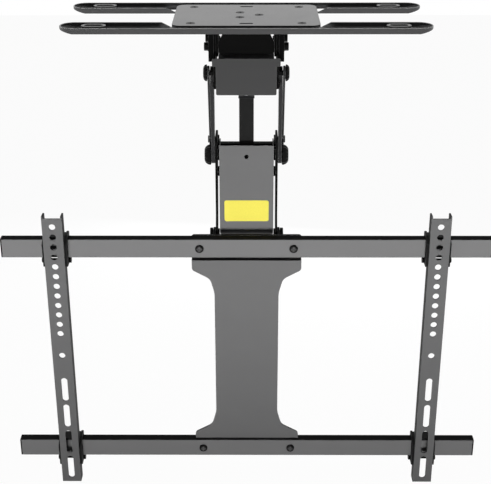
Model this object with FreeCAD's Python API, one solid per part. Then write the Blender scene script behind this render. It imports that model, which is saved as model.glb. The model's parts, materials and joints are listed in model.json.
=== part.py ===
"""Motorized flip-down ceiling mount for a flat screen.

Millimetres. +Z is up, the viewer stands on the -Y side, +X is to the right.
The origin is the middle of the ceiling plate's top face, so everything hangs below zero.
The mount is drawn lowered: the swing arms hang straight down and the screen head is upright.
"""
import FreeCAD, Part
import math
import os

V = FreeCAD.Vector

# Ceiling plate and its two rails
PLATE_WIDTH = 192.0
PLATE_DEPTH = 130.0
PLATE_THICK = 6.0
PLATE_CORNER = 12.0
RAIL_LENGTH = 480.0
RAIL_WIDTH = 36.0
RAIL_STEEL = 2.0
RAIL_PITCH = 123.0
RAIL_TIP_LENGTH = 18.0
RAIL_TIP_RISE = 4.0
RAIL_DIP_GAP = 2.0
RAIL_DIP_LENGTH = 12.0
RAIL_WINDOW_LENGTH = 14.0
RAIL_WINDOW_EDGE = 3.0
LAG_SLOT_INSET = 44.0
LAG_SLOT_LENGTH = 24.0
LAG_SLOT_RADIUS = 4.5
LAG_BOSS_WALL = 4.0
RAIL_SCREW_X = 72.0
RAIL_SCREW_INSET = 15.0
RAIL_SCREW_RADIUS = 3.0
CORNER_NUT_FLATS = 10.0
CORNER_NUT_HEIGHT = 5.0
PLATE_SLOT_LENGTH = 18.0
PLATE_SLOT_WIDTH = 5.0
PLATE_SLOT_INSET = 13.0
HUB_SCREW_CIRCLE = 17.0
HUB_SCREW_RADIUS = 3.0
HEAD_FLARE = 3.0
HEAD_SINK = 3.0

# Hanger under the ceiling plate
SADDLE_STEEL = 3.0
SADDLE_DEPTH = 74.0
SADDLE_FLANGE_DROP = 50.0
SADDLE_CORNER = 4.0
SADDLE_FLANGE_DEPTH = 60.0
CHEEK_INSIDE = 40.2
CHEEK_STEEL = 3.0
PLANE_GAP = 0.4
CHEEK_TOP = -8.0
CHEEK_REAR = 34.0
CHEEK_BOTTOM = -90.0
CHEEK_NECK = 6.0
CHEEK_FOOT_FRONT = 12.0
CHEEK_FOOT_REAR = 16.0
CHEEK_FOOT_RISE = 6.0
CHEEK_CORNER = 4.0
CHEEK_FOOT_CORNER = 9.0
CHEEK_BOLT_Y = 24.0
CHEEK_BOLT_Z = -37.0
CHEEK_BOLT_RADIUS = 3.0
CHEEK_BOLT_FLATS = 10.0
CHEEK_BOLT_HEAD = 6.0
CHEEK_BOLT_END = 1.5
GUARD_DEPTH = 7.0
GUARD_STEEL = 2.5
GUARD_BOTTOM = -56.0
SKIRT_BACK = -46.5
SKIRT_STEEL = 1.5
SKIRT_TOP = -47.5
SKIRT_STEP = -58.0
SKIRT_BOTTOM = -97.0
SKIRT_WING = 5.0
SKIRT_CORNER = 2.0
SKIRT_LIP = 30.0
SKIRT_FLANGE_DEPTH = 12.5
SKIRT_FLANGE_HEIGHT = 12.8
SKIRT_SCREW_RISE = 5.3
SKIRT_SCREW_RADIUS = 2.0
SKIRT_SCREW_HEAD = 2.0
BOX_HALF_WIDTH = 31.5
BOX_FRONT = -30.0
BOX_REAR = 32.0
BOX_HEIGHT = 36.0
BOX_CORNER = 3.0
BOX_WALL = 2.5
LID_THICK = 2.0
LID_SHOULDER = 10.0
LID_SLOPE = 11.0
INLET_RADIUS = 7.0
INLET_NECK = 1.5
INLET_LENGTH = 12.0
INLET_BORE = 3.0

# Pivots of the linkage, as (y, z)
SWING_PIVOT = (-20.0, -74.0)
ARM_LENGTH = 116.0
LINK_PIVOT = (-33.0, -70.4)
LINK_FOOT = (6.1, -176.0)
ROD_PIVOT = (-1.0, -72.0)
ACTUATOR_PIVOT = (-18.0, -215.0)
TILT_PIVOT = (-36.0, -302.0)

# Swing arms, timing links and their pins
ARM_STEEL = 5.0
ARM_WIDTH = 18.0
ARM_FOOT_RADIUS = 12.0
BUSH_RADIUS = 7.0
PIN_RADIUS = 5.0
RUNNING_GAP = 0.05
PIN_HEAD_RADIUS = 7.5
PIN_HEAD_THICK = 3.5
LINK_STEEL = 3.0
LINK_WIDTH = 13.0
LINK_END_RADIUS = 9.5
LINK_PIN_RADIUS = 3.5
LINK_LOST_MOTION = 2.1
KNUCKLE_RADIUS = 11.5
KNUCKLE_THICK = 5.0
ELBOW_RADIUS = 14.5
ELBOW_THICK = 9.0
FOOT_CAP_RADIUS = 5.0
FOOT_CAP_THICK = 1.6
FOOT_HEAD_RADIUS = 6.0
FOOT_HEAD_THICK = 2.0
PIN_COLLAR = 2.0
PIN_COLLAR_THICK = 2.0
CAP_ROUND = 3.0
DIMPLE_RADIUS = 5.8
DIMPLE_DEPTH = 2.0
BRACE_FRONT = 4.0
BRACE_REAR = 16.0
BRACE_HEIGHT = 9.0
BRACE_STEEL = 2.0
BRACE_CORNER = 1.5

# Mast below the arms
MAST_TOP = -164.0
MAST_REAR = 18.0
MAST_FRONT = -34.0
MAST_BOTTOM = -312.0
MAST_FOOT_HALF = 10.0
MAST_CHIN_RISE = 30.0
MAST_HEEL = 20.0
MAST_HEEL_RISE = 14.0
MAST_WAIST = 16.0
MAST_WAIST_DROP = 12.0
MAST_SHOULDER_DROP = 14.0
MAST_CORNER = 10.0
MAST_FOOT_CORNER = 8.0
MAST_WAIST_CORNER = 20.0
COVER_FRONT = -38.0
COVER_HALF_WIDTH = 37.5
COVER_STEEL = 1.5
COVER_TOP = -171.0
COVER_BOTTOM = -307.0
COVER_BEND = 14.0
COVER_LIP = 14.0
COVER_FLANGE_REAR = -6.0
COVER_HOLE_RADIUS = 3.0
COVER_HOLE_DROP = 16.0
LABEL_WIDTH = 62.0
LABEL_HEIGHT = 31.5
LABEL_CENTRE_Z = -267.0
LABEL_THICK = 0.3
LABEL_CORNER = 3.0

# Actuator
ACTUATOR_PIN_RADIUS = 4.0
RING_WALL = 3.0
HOUSING_HALF_WIDTH = 17.0
HOUSING_FRONT = -31.0
HOUSING_REAR = 2.0
HOUSING_TOP = -200.0
HOUSING_BOTTOM = -235.0
HOUSING_CORNER = 3.0
MOTOR_RADIUS = 14.0
MOTOR_LENGTH = 40.0
MOTOR_AXIS_Y = 4.0
MOTOR_SEAT_WALL = 2.0
MOTOR_SEAT_HEIGHT = 15.0
MOTOR_ROUND = 2.0
MOTOR_BOSS_RADIUS = 4.0
MOTOR_BOSS_HEIGHT = 3.0
TUBE_HALF_WIDTH = 10.0
TUBE_HALF_DEPTH = 8.0
TUBE_FOOT_WALL = 4.0
TUBE_FLOOR = 3.0
ROD_FOOT_GAP = 4.0
ROD_SEAT = 2.0
FOLDED_GAP = 1.5
COLLAR_THICK = 3.0
COLLAR_PROUD = 1.0
ROD_RADIUS = 6.0
EYE_RADIUS = 12.0
EYE_HALF_WIDTH = 7.0
EYE_LOST_MOTION = 3.7
ROD_PIN_COLLAR = 2.5
ROD_PIN_COLLAR_THICK = 3.0
STROKE = 24.0

# Screen head
TUBE_LENGTH = 680.0
TUBE_HEIGHT = 28.0
TUBE_DEPTH = 15.0
TUBE_WALL = 1.5
TUBE_CORNER = 2.0
TUBE_FRONT = -72.0
UPPER_TUBE_Z = -310.0
TUBE_SPACING = 330.0
END_CAP_PLUG = 10.0
END_CAP_THICK = 2.0
SPINE_STEEL = 3.0
SPINE_HALF_WIDTH = 45.5
SPINE_FLARE_HALF = 77.0
SPINE_TOP_RISE = 14.5
SPINE_FOOT_DROP = 17.0
SPINE_STEP = 9.0
SPINE_STEP_GAP = 6.8
SPINE_CORNER = 4.0
UPPER_FLARE_EDGE = 15.0
LOWER_FLARE_EDGE = 10.0
FLARE_SLOPE = 14.0
FLARE_NECK = 22.0
FLARE_WAIST = 6.0
FLARE_CORNER = 6.0
NECK_CORNER = 14.0
WAIST_CORNER = 40.0
SPINE_SCREW_X = 65.5
SPINE_SCREW_RADIUS = 3.0
SPINE_HEAD_RADIUS = 6.0
SPINE_HEAD_THICK = 3.0
SPINE_HEAD_ROUND = 1.5
SPINE_NUT_THICK = 4.0
TILT_BRACKET_STEEL = 3.0
TILT_BRACKET_TOP_GAP = 5.0
TILT_BRACKET_HEIGHT = 29.5
TILT_EAR_REAR = 10.0
TILT_EAR_RISE = 7.0
TILT_EAR_DROP = 9.0
TILT_EAR_CORNER = 5.0
TILT_PIN_RADIUS = 4.0
TILT_HEAD_RADIUS = 8.0
TILT_HEAD_THICK = 4.5
TILT_INNER_RADIUS = 7.0
TILT_INNER_THICK = 2.2

# Screen arms, which slide along the tubes
VESA_ARM_X = 265.0
VESA_ARM_WIDTH = 28.0
VESA_ARM_TOP = -258.5
VESA_ARM_LENGTH = 431.5
VESA_ARM_DEPTH = 15.7
VESA_STEEL = 2.0
VESA_EAR = 3.0
VESA_CORNER = 2.0
HOLE_RADIUS = 4.5
HOLE_PITCH = 15.0
HOLE_COUNT = 12
FIRST_HOLE_DROP = 12.5
MIDDLE_HOLE_DROP = 213.0
SLOT_COUNT = 4
SLOT_LENGTH = 39.0
SLOT_PITCH = 45.0
LAST_SLOT_MARGIN = 7.0
SLIDE_GAP = 0.3
CLAMP_STEEL = 3.0
CLAMP_HOOK = 6.0
CLAMP_CHIN = 9.0
CLAMP_CHIN_DEPTH = 8.0
CLAMP_NOSE = 11.7
CLAMP_CORNER = 3.0
CLAMP_BACK_GAP = 6.0
CLAMP_SCREW_RADIUS = 2.5
CLAMP_SCREW_HEAD = 4.0
CLAMP_SCREW_HEAD_THICK = 4.0
CLAMP_NUT_FLATS = 8.0
CLAMP_NUT_THICK = 3.0

# Places that follow from the sizes above
LOWER_TUBE_Z = UPPER_TUBE_Z - TUBE_SPACING
TUBE_BACK = TUBE_FRONT + TUBE_DEPTH
SPINE_BACK = TUBE_BACK + SPINE_STEEL
SPINE_TOP = UPPER_TUBE_Z + SPINE_TOP_RISE
SPINE_BOTTOM = LOWER_TUBE_Z - SPINE_FOOT_DROP
PANEL_FRONT = TUBE_BACK - SPINE_STEP
PANEL_TOP = UPPER_TUBE_Z - TUBE_HEIGHT / 2 - SPINE_STEP_GAP
PANEL_FOOT = LOWER_TUBE_Z + TUBE_HEIGHT / 2
CHEEK_OUTSIDE = CHEEK_INSIDE + CHEEK_STEEL
GUARD_OUTSIDE = CHEEK_OUTSIDE + GUARD_DEPTH
ARM_INSIDE = CHEEK_OUTSIDE + PLANE_GAP
ARM_OUTSIDE = ARM_INSIDE + ARM_STEEL
LINK_INSIDE = ARM_OUTSIDE + PLANE_GAP
LINK_OUTSIDE = LINK_INSIDE + LINK_STEEL
KNUCKLE_INSIDE = LINK_OUTSIDE + PLANE_GAP
ELBOW_PIVOT = (SWING_PIVOT[0], SWING_PIVOT[1] - ARM_LENGTH)
BRACE_TOP = LINK_FOOT[1] - FOOT_HEAD_RADIUS - PLANE_GAP
RAIL_UNDER = -PLATE_THICK - RAIL_STEEL
SADDLE_INSIDE = CHEEK_INSIDE - SADDLE_STEEL
SADDLE_UNDER = -PLATE_THICK - SADDLE_STEEL
BOX_UNDER = SADDLE_UNDER - BOX_HEIGHT
TUBE_FOOT = ACTUATOR_PIN_RADIUS + TUBE_FOOT_WALL
FAR = 1000.0
LOWERED_LENGTH = math.hypot(ROD_PIVOT[0] - ACTUATOR_PIVOT[0], ROD_PIVOT[1] - ACTUATOR_PIVOT[1])
TUBE_REACH = LOWERED_LENGTH - STROKE - EYE_RADIUS - COLLAR_THICK - FOLDED_GAP


def box(x0, x1, y0, y1, z0, z1):
    """Block between two corners."""
    return Part.makeBox(x1 - x0, y1 - y0, z1 - z0, V(x0, y0, z0))


def cylinder_x(pivot, radius, x0, x1):
    """Round bar along X through a (y, z) point."""
    return Part.makeCylinder(radius, x1 - x0, V(x0, pivot[0], pivot[1]), V(1, 0, 0))


def cylinder_y(x, z, radius, y0, y1):
    """Round bar along Y."""
    return Part.makeCylinder(radius, y1 - y0, V(x, y0, z), V(0, 1, 0))


def cylinder_z(x, y, radius, z0, z1):
    """Round bar along Z."""
    return Part.makeCylinder(radius, z1 - z0, V(x, y, z0), V(0, 0, 1))


def outline(points, place):
    """Closed face through (u, v, corner radius) points, each corner rounded by an arc.

    place turns (u, v) into a point in space.
    """
    starts, ends, middles = [], [], []
    count = len(points)
    for i, (u, v, radius) in enumerate(points):
        before = points[i - 1]
        after = points[(i + 1) % count]
        here = V(u, v, 0)
        back = (V(before[0], before[1], 0) - here).normalize()
        ahead = (V(after[0], after[1], 0) - here).normalize()
        if radius <= 0:
            starts.append(here)
            ends.append(here)
            middles.append(None)
            continue
        half = back.getAngle(ahead) / 2
        reach = radius / math.tan(half)
        bisector = (back + ahead).normalize()
        centre = here + bisector * (radius / math.sin(half))
        starts.append(here + back * reach)
        ends.append(here + ahead * reach)
        middles.append(centre - bisector * radius)
    edges = []
    for i in range(count):
        if middles[i] is not None:
            corner = [place(p.x, p.y) for p in (starts[i], middles[i], ends[i])]
            edges.append(Part.Arc(*corner).toShape())
        run = [place(p.x, p.y) for p in (ends[i], starts[(i + 1) % count])]
        if run[0].distanceToPoint(run[1]) > 1e-6:
            edges.append(Part.LineSegment(*run).toShape())
    return Part.Face(Part.Wire(edges))


def side_plate(points, x0, x1):
    """Sheet in the YZ plane from x0 to x1."""
    return outline(points, lambda y, z: V(x0, y, z)).extrude(V(x1 - x0, 0, 0))


def front_plate(points, y0, y1):
    """Sheet in the XZ plane from y0 to y1."""
    return outline(points, lambda x, z: V(x, y0, z)).extrude(V(0, y1 - y0, 0))


def flat_plate(points, z0, z1):
    """Sheet in the XY plane from z0 to z1."""
    return outline(points, lambda x, y: V(x, y, z0)).extrude(V(0, 0, z1 - z0))


def rectangle(u0, u1, v0, v1, radius):
    """Rectangle's corners for an outline."""
    return [(u0, v0, radius), (u1, v0, radius), (u1, v1, radius), (u0, v1, radius)]


def stadium(length, width, x, y, z0, z1):
    """Long hole or boss along X with round ends."""
    straight = length - width
    body = box(x - straight / 2, x + straight / 2, y - width / 2, y + width / 2, z0, z1)
    for side in (-1, 1):
        body = body.fuse(cylinder_z(x + side * straight / 2, y, width / 2, z0, z1))
    return body.removeSplitter()


def hexagon_x(pivot, flats, x0, x1):
    """Hexagon bar along X."""
    corner = flats / math.sqrt(3)
    points = []
    for i in range(6):
        turn = math.radians(60 * i + 30)
        points.append((pivot[0] + corner * math.cos(turn), pivot[1] + corner * math.sin(turn), 0))
    return side_plate(points, x0, x1)


def hexagon_z(x, y, flats, z0, z1):
    """Hexagon bar along Z."""
    corner = flats / math.sqrt(3)
    points = []
    for i in range(6):
        turn = math.radians(60 * i)
        points.append((x + corner * math.cos(turn), y + corner * math.sin(turn), 0))
    return flat_plate(points, z0, z1)


def mirror_x(shape):
    """The same piece on the other side."""
    return shape.mirror(V(0, 0, 0), V(1, 0, 0))


def group(shapes):
    """Several separate solids in one node."""
    return Part.makeCompound([s for shape in shapes for s in shape.Solids])


def both(shape):
    """A piece and its mirror image as a group."""
    return group([shape, mirror_x(shape)])


def fuse(first, *others):
    """One solid from several that touch."""
    body = first
    for other in others:
        body = body.fuse(other)
    return body.removeSplitter()


def screw_space(x, y, radius):
    """Flush screw's head and shank inside the ceiling plate."""
    head = Part.makeCone(radius, radius + HEAD_FLARE, HEAD_SINK, V(x, y, -HEAD_SINK))
    return fuse(head, cylinder_z(x, y, radius, -PLATE_THICK, -HEAD_SINK))


def hub_screw_places():
    """Three screws round the middle of the ceiling plate."""
    places = []
    for i in range(3):
        turn = math.radians(120 * i)
        places.append((HUB_SCREW_CIRCLE * math.cos(turn), HUB_SCREW_CIRCLE * math.sin(turn)))
    return places


def rail_screw_places():
    """Four screws near the corners of the ceiling plate."""
    y = PLATE_DEPTH / 2 - RAIL_SCREW_INSET
    return [(sx * RAIL_SCREW_X, sy * y) for sx in (-1, 1) for sy in (-1, 1)]


def ceiling_plate():
    """Thick rounded plate that lies in both rails, flush with their rims, and carries the hanger."""
    half_w, half_d = PLATE_WIDTH / 2, PLATE_DEPTH / 2
    body = flat_plate(rectangle(-half_w, half_w, -half_d, half_d, PLATE_CORNER), -PLATE_THICK, 0)
    for x, y in rail_screw_places():
        body = body.cut(screw_space(x, y, RAIL_SCREW_RADIUS))
    for x, y in hub_screw_places():
        body = body.cut(screw_space(x, y, HUB_SCREW_RADIUS))
    for side in (-1, 1):
        y = side * (half_d - PLATE_SLOT_INSET)
        body = body.cut(stadium(PLATE_SLOT_LENGTH, PLATE_SLOT_WIDTH, 0, y, -PLATE_THICK, 0))
    return body


def below_tip(lift):
    """Wedge below a rail's raised tip on the right, or below its floor when lifted by the steel."""
    half = RAIL_LENGTH / 2
    low = RAIL_UNDER + lift
    below = RAIL_UNDER - RAIL_STEEL
    shape = [
        (half - RAIL_TIP_LENGTH, low, 0), (half, low + RAIL_TIP_RISE, 0),
        (half, below, 0), (half - RAIL_TIP_LENGTH, below, 0),
    ]
    return front_plate(shape, -RAIL_PITCH, 0)


def front_rail():
    """Long pressed tray with raised tips and slotted bosses; the ceiling plate lies on its floor.

    The wall towards the middle dips under the plate, and the floor has a window beside it.
    """
    centre = -RAIL_PITCH / 2
    outer = centre - RAIL_WIDTH / 2
    inner = centre + RAIL_WIDTH / 2
    floor = -PLATE_THICK
    tray = stadium(RAIL_LENGTH, RAIL_WIDTH, 0, centre, RAIL_UNDER, 0)
    hollow = stadium(RAIL_LENGTH - 2 * RAIL_STEEL, RAIL_WIDTH - 2 * RAIL_STEEL, 0, centre, floor, 0)
    for turn in (lambda shape: shape, mirror_x):
        tray = tray.cut(turn(below_tip(0)))
        hollow = hollow.cut(turn(below_tip(RAIL_STEEL)))
    body = tray.cut(hollow)
    foot = PLATE_WIDTH / 2 + RAIL_DIP_GAP
    rim = foot + RAIL_DIP_LENGTH
    dip = [(-rim, 0, 0), (rim, 0, 0), (foot, floor, 0), (-foot, floor, 0)]
    body = body.cut(front_plate(dip, inner - RAIL_STEEL, inner))
    window = rectangle(foot, foot + RAIL_WINDOW_LENGTH, outer + RAIL_STEEL + RAIL_WINDOW_EDGE,
                       inner - RAIL_STEEL - RAIL_WINDOW_EDGE, RAIL_WINDOW_EDGE)
    window = flat_plate(window, RAIL_UNDER, floor)
    body = body.cut(window).cut(mirror_x(window))
    for side in (-1, 1):
        x = side * (RAIL_LENGTH / 2 - LAG_SLOT_INSET)
        width = 2 * (LAG_SLOT_RADIUS + LAG_BOSS_WALL)
        length = LAG_SLOT_LENGTH + 2 * LAG_BOSS_WALL
        boss = stadium(length, width, x, centre, RAIL_UNDER, 0)
        slot = stadium(LAG_SLOT_LENGTH, 2 * LAG_SLOT_RADIUS, x, centre, RAIL_UNDER, 0)
        body = fuse(body, boss).cut(slot)
    for x, y in rail_screw_places():
        if y < 0:
            body = body.cut(cylinder_z(x, y, RAIL_SCREW_RADIUS, RAIL_UNDER, 0))
    return body


def rear_rail():
    """The same rail turned round."""
    return front_rail().mirror(V(0, 0, 0), V(0, 1, 0))


def rail_screws():
    """Flush screws that hold the plate to the rails' floors, with nuts below."""
    screws = []
    for x, y in rail_screw_places():
        low = RAIL_UNDER - CORNER_NUT_HEIGHT
        shank = cylinder_z(x, y, RAIL_SCREW_RADIUS, low, -PLATE_THICK)
        nut = hexagon_z(x, y, CORNER_NUT_FLATS, low, RAIL_UNDER)
        screws.append(fuse(screw_space(x, y, RAIL_SCREW_RADIUS), shank, nut))
    return group(screws)


def saddle_bracket():
    """Folded bracket under the plate whose flanges carry the cheeks."""
    half_d = SADDLE_DEPTH / 2
    web = box(-CHEEK_INSIDE, CHEEK_INSIDE, -half_d, half_d, SADDLE_UNDER, -PLATE_THICK)
    half_f = SADDLE_FLANGE_DEPTH / 2
    shape = [
        (-half_f, -PLATE_THICK, 0), (-half_f, -SADDLE_FLANGE_DROP, SADDLE_CORNER),
        (half_f, -SADDLE_FLANGE_DROP, SADDLE_CORNER), (half_f, -PLATE_THICK, 0),
    ]
    flange = side_plate(shape, SADDLE_INSIDE, CHEEK_INSIDE)
    body = fuse(web, flange, mirror_x(flange))
    for place in cheek_bolt_places():
        body = body.cut(cylinder_x(place, CHEEK_BOLT_RADIUS, -FAR, FAR))
    for x, y in hub_screw_places():
        body = body.cut(cylinder_z(x, y, HUB_SCREW_RADIUS, -FAR, 0))
    return body


def saddle_screws():
    """Three flush screws from the plate into the saddle's web."""
    screws = []
    for x, y in hub_screw_places():
        shank = cylinder_z(x, y, HUB_SCREW_RADIUS, SADDLE_UNDER, -PLATE_THICK)
        screws.append(fuse(screw_space(x, y, HUB_SCREW_RADIUS), shank))
    return group(screws)


def control_box():
    """Closed case of the drive electronics under the saddle, with a shouldered lid in front."""
    half = BOX_HALF_WIDTH
    body = box(-half, half, BOX_FRONT, BOX_REAR, BOX_UNDER, SADDLE_UNDER)
    free = [e for e in body.Edges if e.BoundBox.ZMin < SADDLE_UNDER - BOX_CORNER]
    body = body.makeFillet(BOX_CORNER, free)
    hollow = box(-half + BOX_WALL, half - BOX_WALL, BOX_FRONT + BOX_WALL, BOX_REAR - BOX_WALL,
                 BOX_UNDER + BOX_WALL, SADDLE_UNDER - BOX_WALL)
    wide = SADDLE_INSIDE - PLANE_GAP
    shoulder = SADDLE_UNDER - LID_SHOULDER
    right = [
        (wide, BOX_UNDER, BOX_CORNER), (wide, shoulder - LID_SLOPE, 0),
        (half, shoulder, 0), (half, SADDLE_UNDER - PLANE_GAP, 0),
    ]
    left = [(-x, z, r) for x, z, r in reversed(right)]
    lid = front_plate(right + left, BOX_FRONT - LID_THICK, BOX_FRONT + BOX_WALL)
    body = fuse(body, lid).cut(hollow)
    return body.cut(cylinder_y(0, inlet_height(), INLET_BORE, BOX_REAR - 2 * BOX_WALL, BOX_REAR))


def inlet_height():
    """Height of the power inlet, halfway up the control box."""
    return SADDLE_UNDER - BOX_HEIGHT / 2


def power_inlet():
    """Gland on the back of the control box."""
    z = inlet_height()
    barrel = cylinder_y(0, z, INLET_RADIUS - INLET_NECK, BOX_REAR, BOX_REAR + INLET_LENGTH)
    collar = cylinder_y(0, z, INLET_RADIUS, BOX_REAR, BOX_REAR + INLET_LENGTH / 3)
    return fuse(barrel, collar).cut(cylinder_y(0, z, INLET_BORE, BOX_REAR, BOX_REAR + INLET_LENGTH))


def cheek():
    """Right-hand side plate of the hanger, which holds the pivots."""
    foot = ROD_PIVOT[0]
    shape = [
        (-CHEEK_REAR, CHEEK_TOP, CHEEK_CORNER),
        (-CHEEK_REAR, SKIRT_TOP + CHEEK_NECK, CHEEK_CORNER / 2),
        (SKIRT_BACK, SKIRT_TOP, SKIRT_CORNER),
        (SKIRT_BACK, CHEEK_BOTTOM, CHEEK_CORNER),
        (foot - CHEEK_FOOT_FRONT, CHEEK_BOTTOM, CHEEK_FOOT_CORNER),
        (foot + CHEEK_FOOT_REAR, CHEEK_BOTTOM + CHEEK_FOOT_RISE, CHEEK_FOOT_CORNER),
        (CHEEK_REAR, SKIRT_TOP, CHEEK_FOOT_CORNER),
        (CHEEK_REAR, CHEEK_TOP, CHEEK_CORNER),
    ]
    body = side_plate(shape, CHEEK_INSIDE, CHEEK_OUTSIDE)
    pins = ((SWING_PIVOT, PIN_RADIUS), (LINK_PIVOT, LINK_PIN_RADIUS), (ROD_PIVOT, ACTUATOR_PIN_RADIUS))
    for pivot, radius in pins:
        body = body.cut(cylinder_x(pivot, radius, 0, FAR))
    for place in cheek_bolt_places():
        body = body.cut(cylinder_x(place, CHEEK_BOLT_RADIUS, 0, FAR))
    return body.cut(cylinder_x(skirt_screw_place(), SKIRT_SCREW_RADIUS, 0, FAR))


def cheek_guard():
    """Right-hand shallow pan that boxes out the cheek where the bolts clamp it."""
    outer = rectangle(-CHEEK_REAR, CHEEK_REAR, GUARD_BOTTOM, CHEEK_TOP, CHEEK_CORNER)
    rim = CHEEK_REAR - GUARD_STEEL
    below, above = GUARD_BOTTOM - GUARD_STEEL, CHEEK_TOP - GUARD_STEEL
    inner = rectangle(-rim, rim, below, above, CHEEK_CORNER - GUARD_STEEL)
    body = side_plate(outer, CHEEK_OUTSIDE, GUARD_OUTSIDE)
    body = body.cut(side_plate(inner, CHEEK_OUTSIDE, GUARD_OUTSIDE - GUARD_STEEL))
    for place in cheek_bolt_places():
        body = fuse(body, cylinder_x(place, CHEEK_BOLT_FLATS / 2, CHEEK_OUTSIDE, GUARD_OUTSIDE))
        body = body.cut(cylinder_x(place, CHEEK_BOLT_RADIUS, 0, FAR))
    return body


def cheek_bolt_places():
    """Two bolts a side, as (y, z)."""
    return [(-CHEEK_BOLT_Y, CHEEK_BOLT_Z), (CHEEK_BOLT_Y, CHEEK_BOLT_Z)]


def cheek_bolts():
    """Hexagon bolts, two a side, through guards and cheeks into the saddle's tapped flanges."""
    bolts = []
    for place in cheek_bolt_places():
        head = hexagon_x(place, CHEEK_BOLT_FLATS, GUARD_OUTSIDE, GUARD_OUTSIDE + CHEEK_BOLT_HEAD)
        shank = cylinder_x(place, CHEEK_BOLT_RADIUS, SADDLE_INSIDE - CHEEK_BOLT_END, GUARD_OUTSIDE)
        bolts.append(fuse(head, shank))
    return both(group(bolts))


def skirt_screw_place():
    """Where the skirt's side flange is screwed to the cheek."""
    return (SKIRT_BACK + SKIRT_FLANGE_DEPTH / 2, CHEEK_BOTTOM + SKIRT_SCREW_RISE)


def front_skirt():
    """Front cover of the hanger, stepped in at both sides to clear the swing arms."""
    front = SKIRT_BACK - SKIRT_STEEL
    wide = CHEEK_INSIDE + SKIRT_WING
    right = [
        (CHEEK_INSIDE, SKIRT_BOTTOM, SKIRT_CORNER), (CHEEK_INSIDE, SKIRT_STEP, SKIRT_CORNER),
        (wide, SKIRT_STEP, SKIRT_CORNER), (wide, SKIRT_TOP, SKIRT_CORNER),
    ]
    left = [(-x, z, r) for x, z, r in reversed(right)]
    face = front_plate(right + left, front, SKIRT_BACK)
    half = SADDLE_INSIDE - PLANE_GAP
    lip = box(-half, half, front, SKIRT_BACK + SKIRT_LIP, SKIRT_TOP - SKIRT_STEEL, SKIRT_TOP)
    flange = box(CHEEK_INSIDE - SKIRT_STEEL, CHEEK_INSIDE, SKIRT_BACK - SKIRT_STEEL / 2,
                 SKIRT_BACK + SKIRT_FLANGE_DEPTH, CHEEK_BOTTOM, CHEEK_BOTTOM + SKIRT_FLANGE_HEIGHT)
    flange = flange.cut(cylinder_x(skirt_screw_place(), SKIRT_SCREW_RADIUS, 0, FAR))
    return fuse(face, lip, flange, mirror_x(flange))


def skirt_screws():
    """Small screws through the cheeks into the skirt's flanges."""
    place = skirt_screw_place()
    head = cylinder_x(place, 2 * SKIRT_SCREW_RADIUS, CHEEK_OUTSIDE, CHEEK_OUTSIDE + SKIRT_SCREW_HEAD)
    tip = CHEEK_INSIDE - SKIRT_STEEL - SKIRT_SCREW_HEAD
    shank = cylinder_x(place, SKIRT_SCREW_RADIUS, tip, CHEEK_OUTSIDE)
    return both(fuse(head, shank))


def swing_pins():
    """Headed pins, flush outside, on which the swing arms turn."""
    head = cylinder_x(SWING_PIVOT, PIN_HEAD_RADIUS, CHEEK_INSIDE - PIN_HEAD_THICK, CHEEK_INSIDE)
    shank = cylinder_x(SWING_PIVOT, PIN_RADIUS, CHEEK_INSIDE, ARM_OUTSIDE)
    return both(fuse(head, shank))


def round_outside(head, outside):
    """Rounds a turned head's outer edge."""
    return head.makeFillet(CAP_ROUND, [e for e in head.Edges if e.BoundBox.XMin > outside - CAP_ROUND / 2])


def link_top_pins():
    """Stepped pins with large round heads at the top of the timing links."""
    collar = CHEEK_INSIDE - PIN_COLLAR_THICK
    inner = cylinder_x(LINK_PIVOT, LINK_PIN_RADIUS + PIN_COLLAR, collar, CHEEK_INSIDE)
    shank = cylinder_x(LINK_PIVOT, LINK_PIN_RADIUS, CHEEK_INSIDE, KNUCKLE_INSIDE)
    head = cylinder_x(LINK_PIVOT, KNUCKLE_RADIUS, KNUCKLE_INSIDE, KNUCKLE_INSIDE + KNUCKLE_THICK)
    return both(fuse(inner, shank, round_outside(head, KNUCKLE_INSIDE + KNUCKLE_THICK)))


def rod_pin():
    """Cross pin between the cheeks that the actuator's rod pulls on."""
    pin = cylinder_x(ROD_PIVOT, ACTUATOR_PIN_RADIUS, -CHEEK_OUTSIDE, CHEEK_OUTSIDE)
    collar = cylinder_x(ROD_PIVOT, ACTUATOR_PIN_RADIUS + ROD_PIN_COLLAR, CHEEK_INSIDE - ROD_PIN_COLLAR_THICK,
                        CHEEK_INSIDE)
    return fuse(pin, collar, mirror_x(collar))


def swing_arm():
    """Right-hand main arm, a flat bar with a bush at each end."""
    half = ARM_WIDTH / 2
    y = SWING_PIVOT[0]
    bar = box(ARM_INSIDE, ARM_OUTSIDE, y - half, y + half, ELBOW_PIVOT[1], SWING_PIVOT[1])
    top = cylinder_x(SWING_PIVOT, half, ARM_INSIDE, ARM_OUTSIDE)
    foot = cylinder_x(ELBOW_PIVOT, ARM_FOOT_RADIUS, ARM_INSIDE, ARM_OUTSIDE)
    body = fuse(bar, top, foot)
    for pivot in (SWING_PIVOT, ELBOW_PIVOT):
        body = body.cut(cylinder_x(pivot, BUSH_RADIUS, 0, FAR))
    return body


def swing_bushes():
    """Bearing bushes pressed into both ends of both swing arms."""
    rings = []
    for pivot in (SWING_PIVOT, ELBOW_PIVOT):
        ring = cylinder_x(pivot, BUSH_RADIUS, ARM_INSIDE, ARM_OUTSIDE)
        rings.append(ring.cut(cylinder_x(pivot, PIN_RADIUS + RUNNING_GAP, ARM_INSIDE, ARM_OUTSIDE)))
    return both(group(rings))


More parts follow.
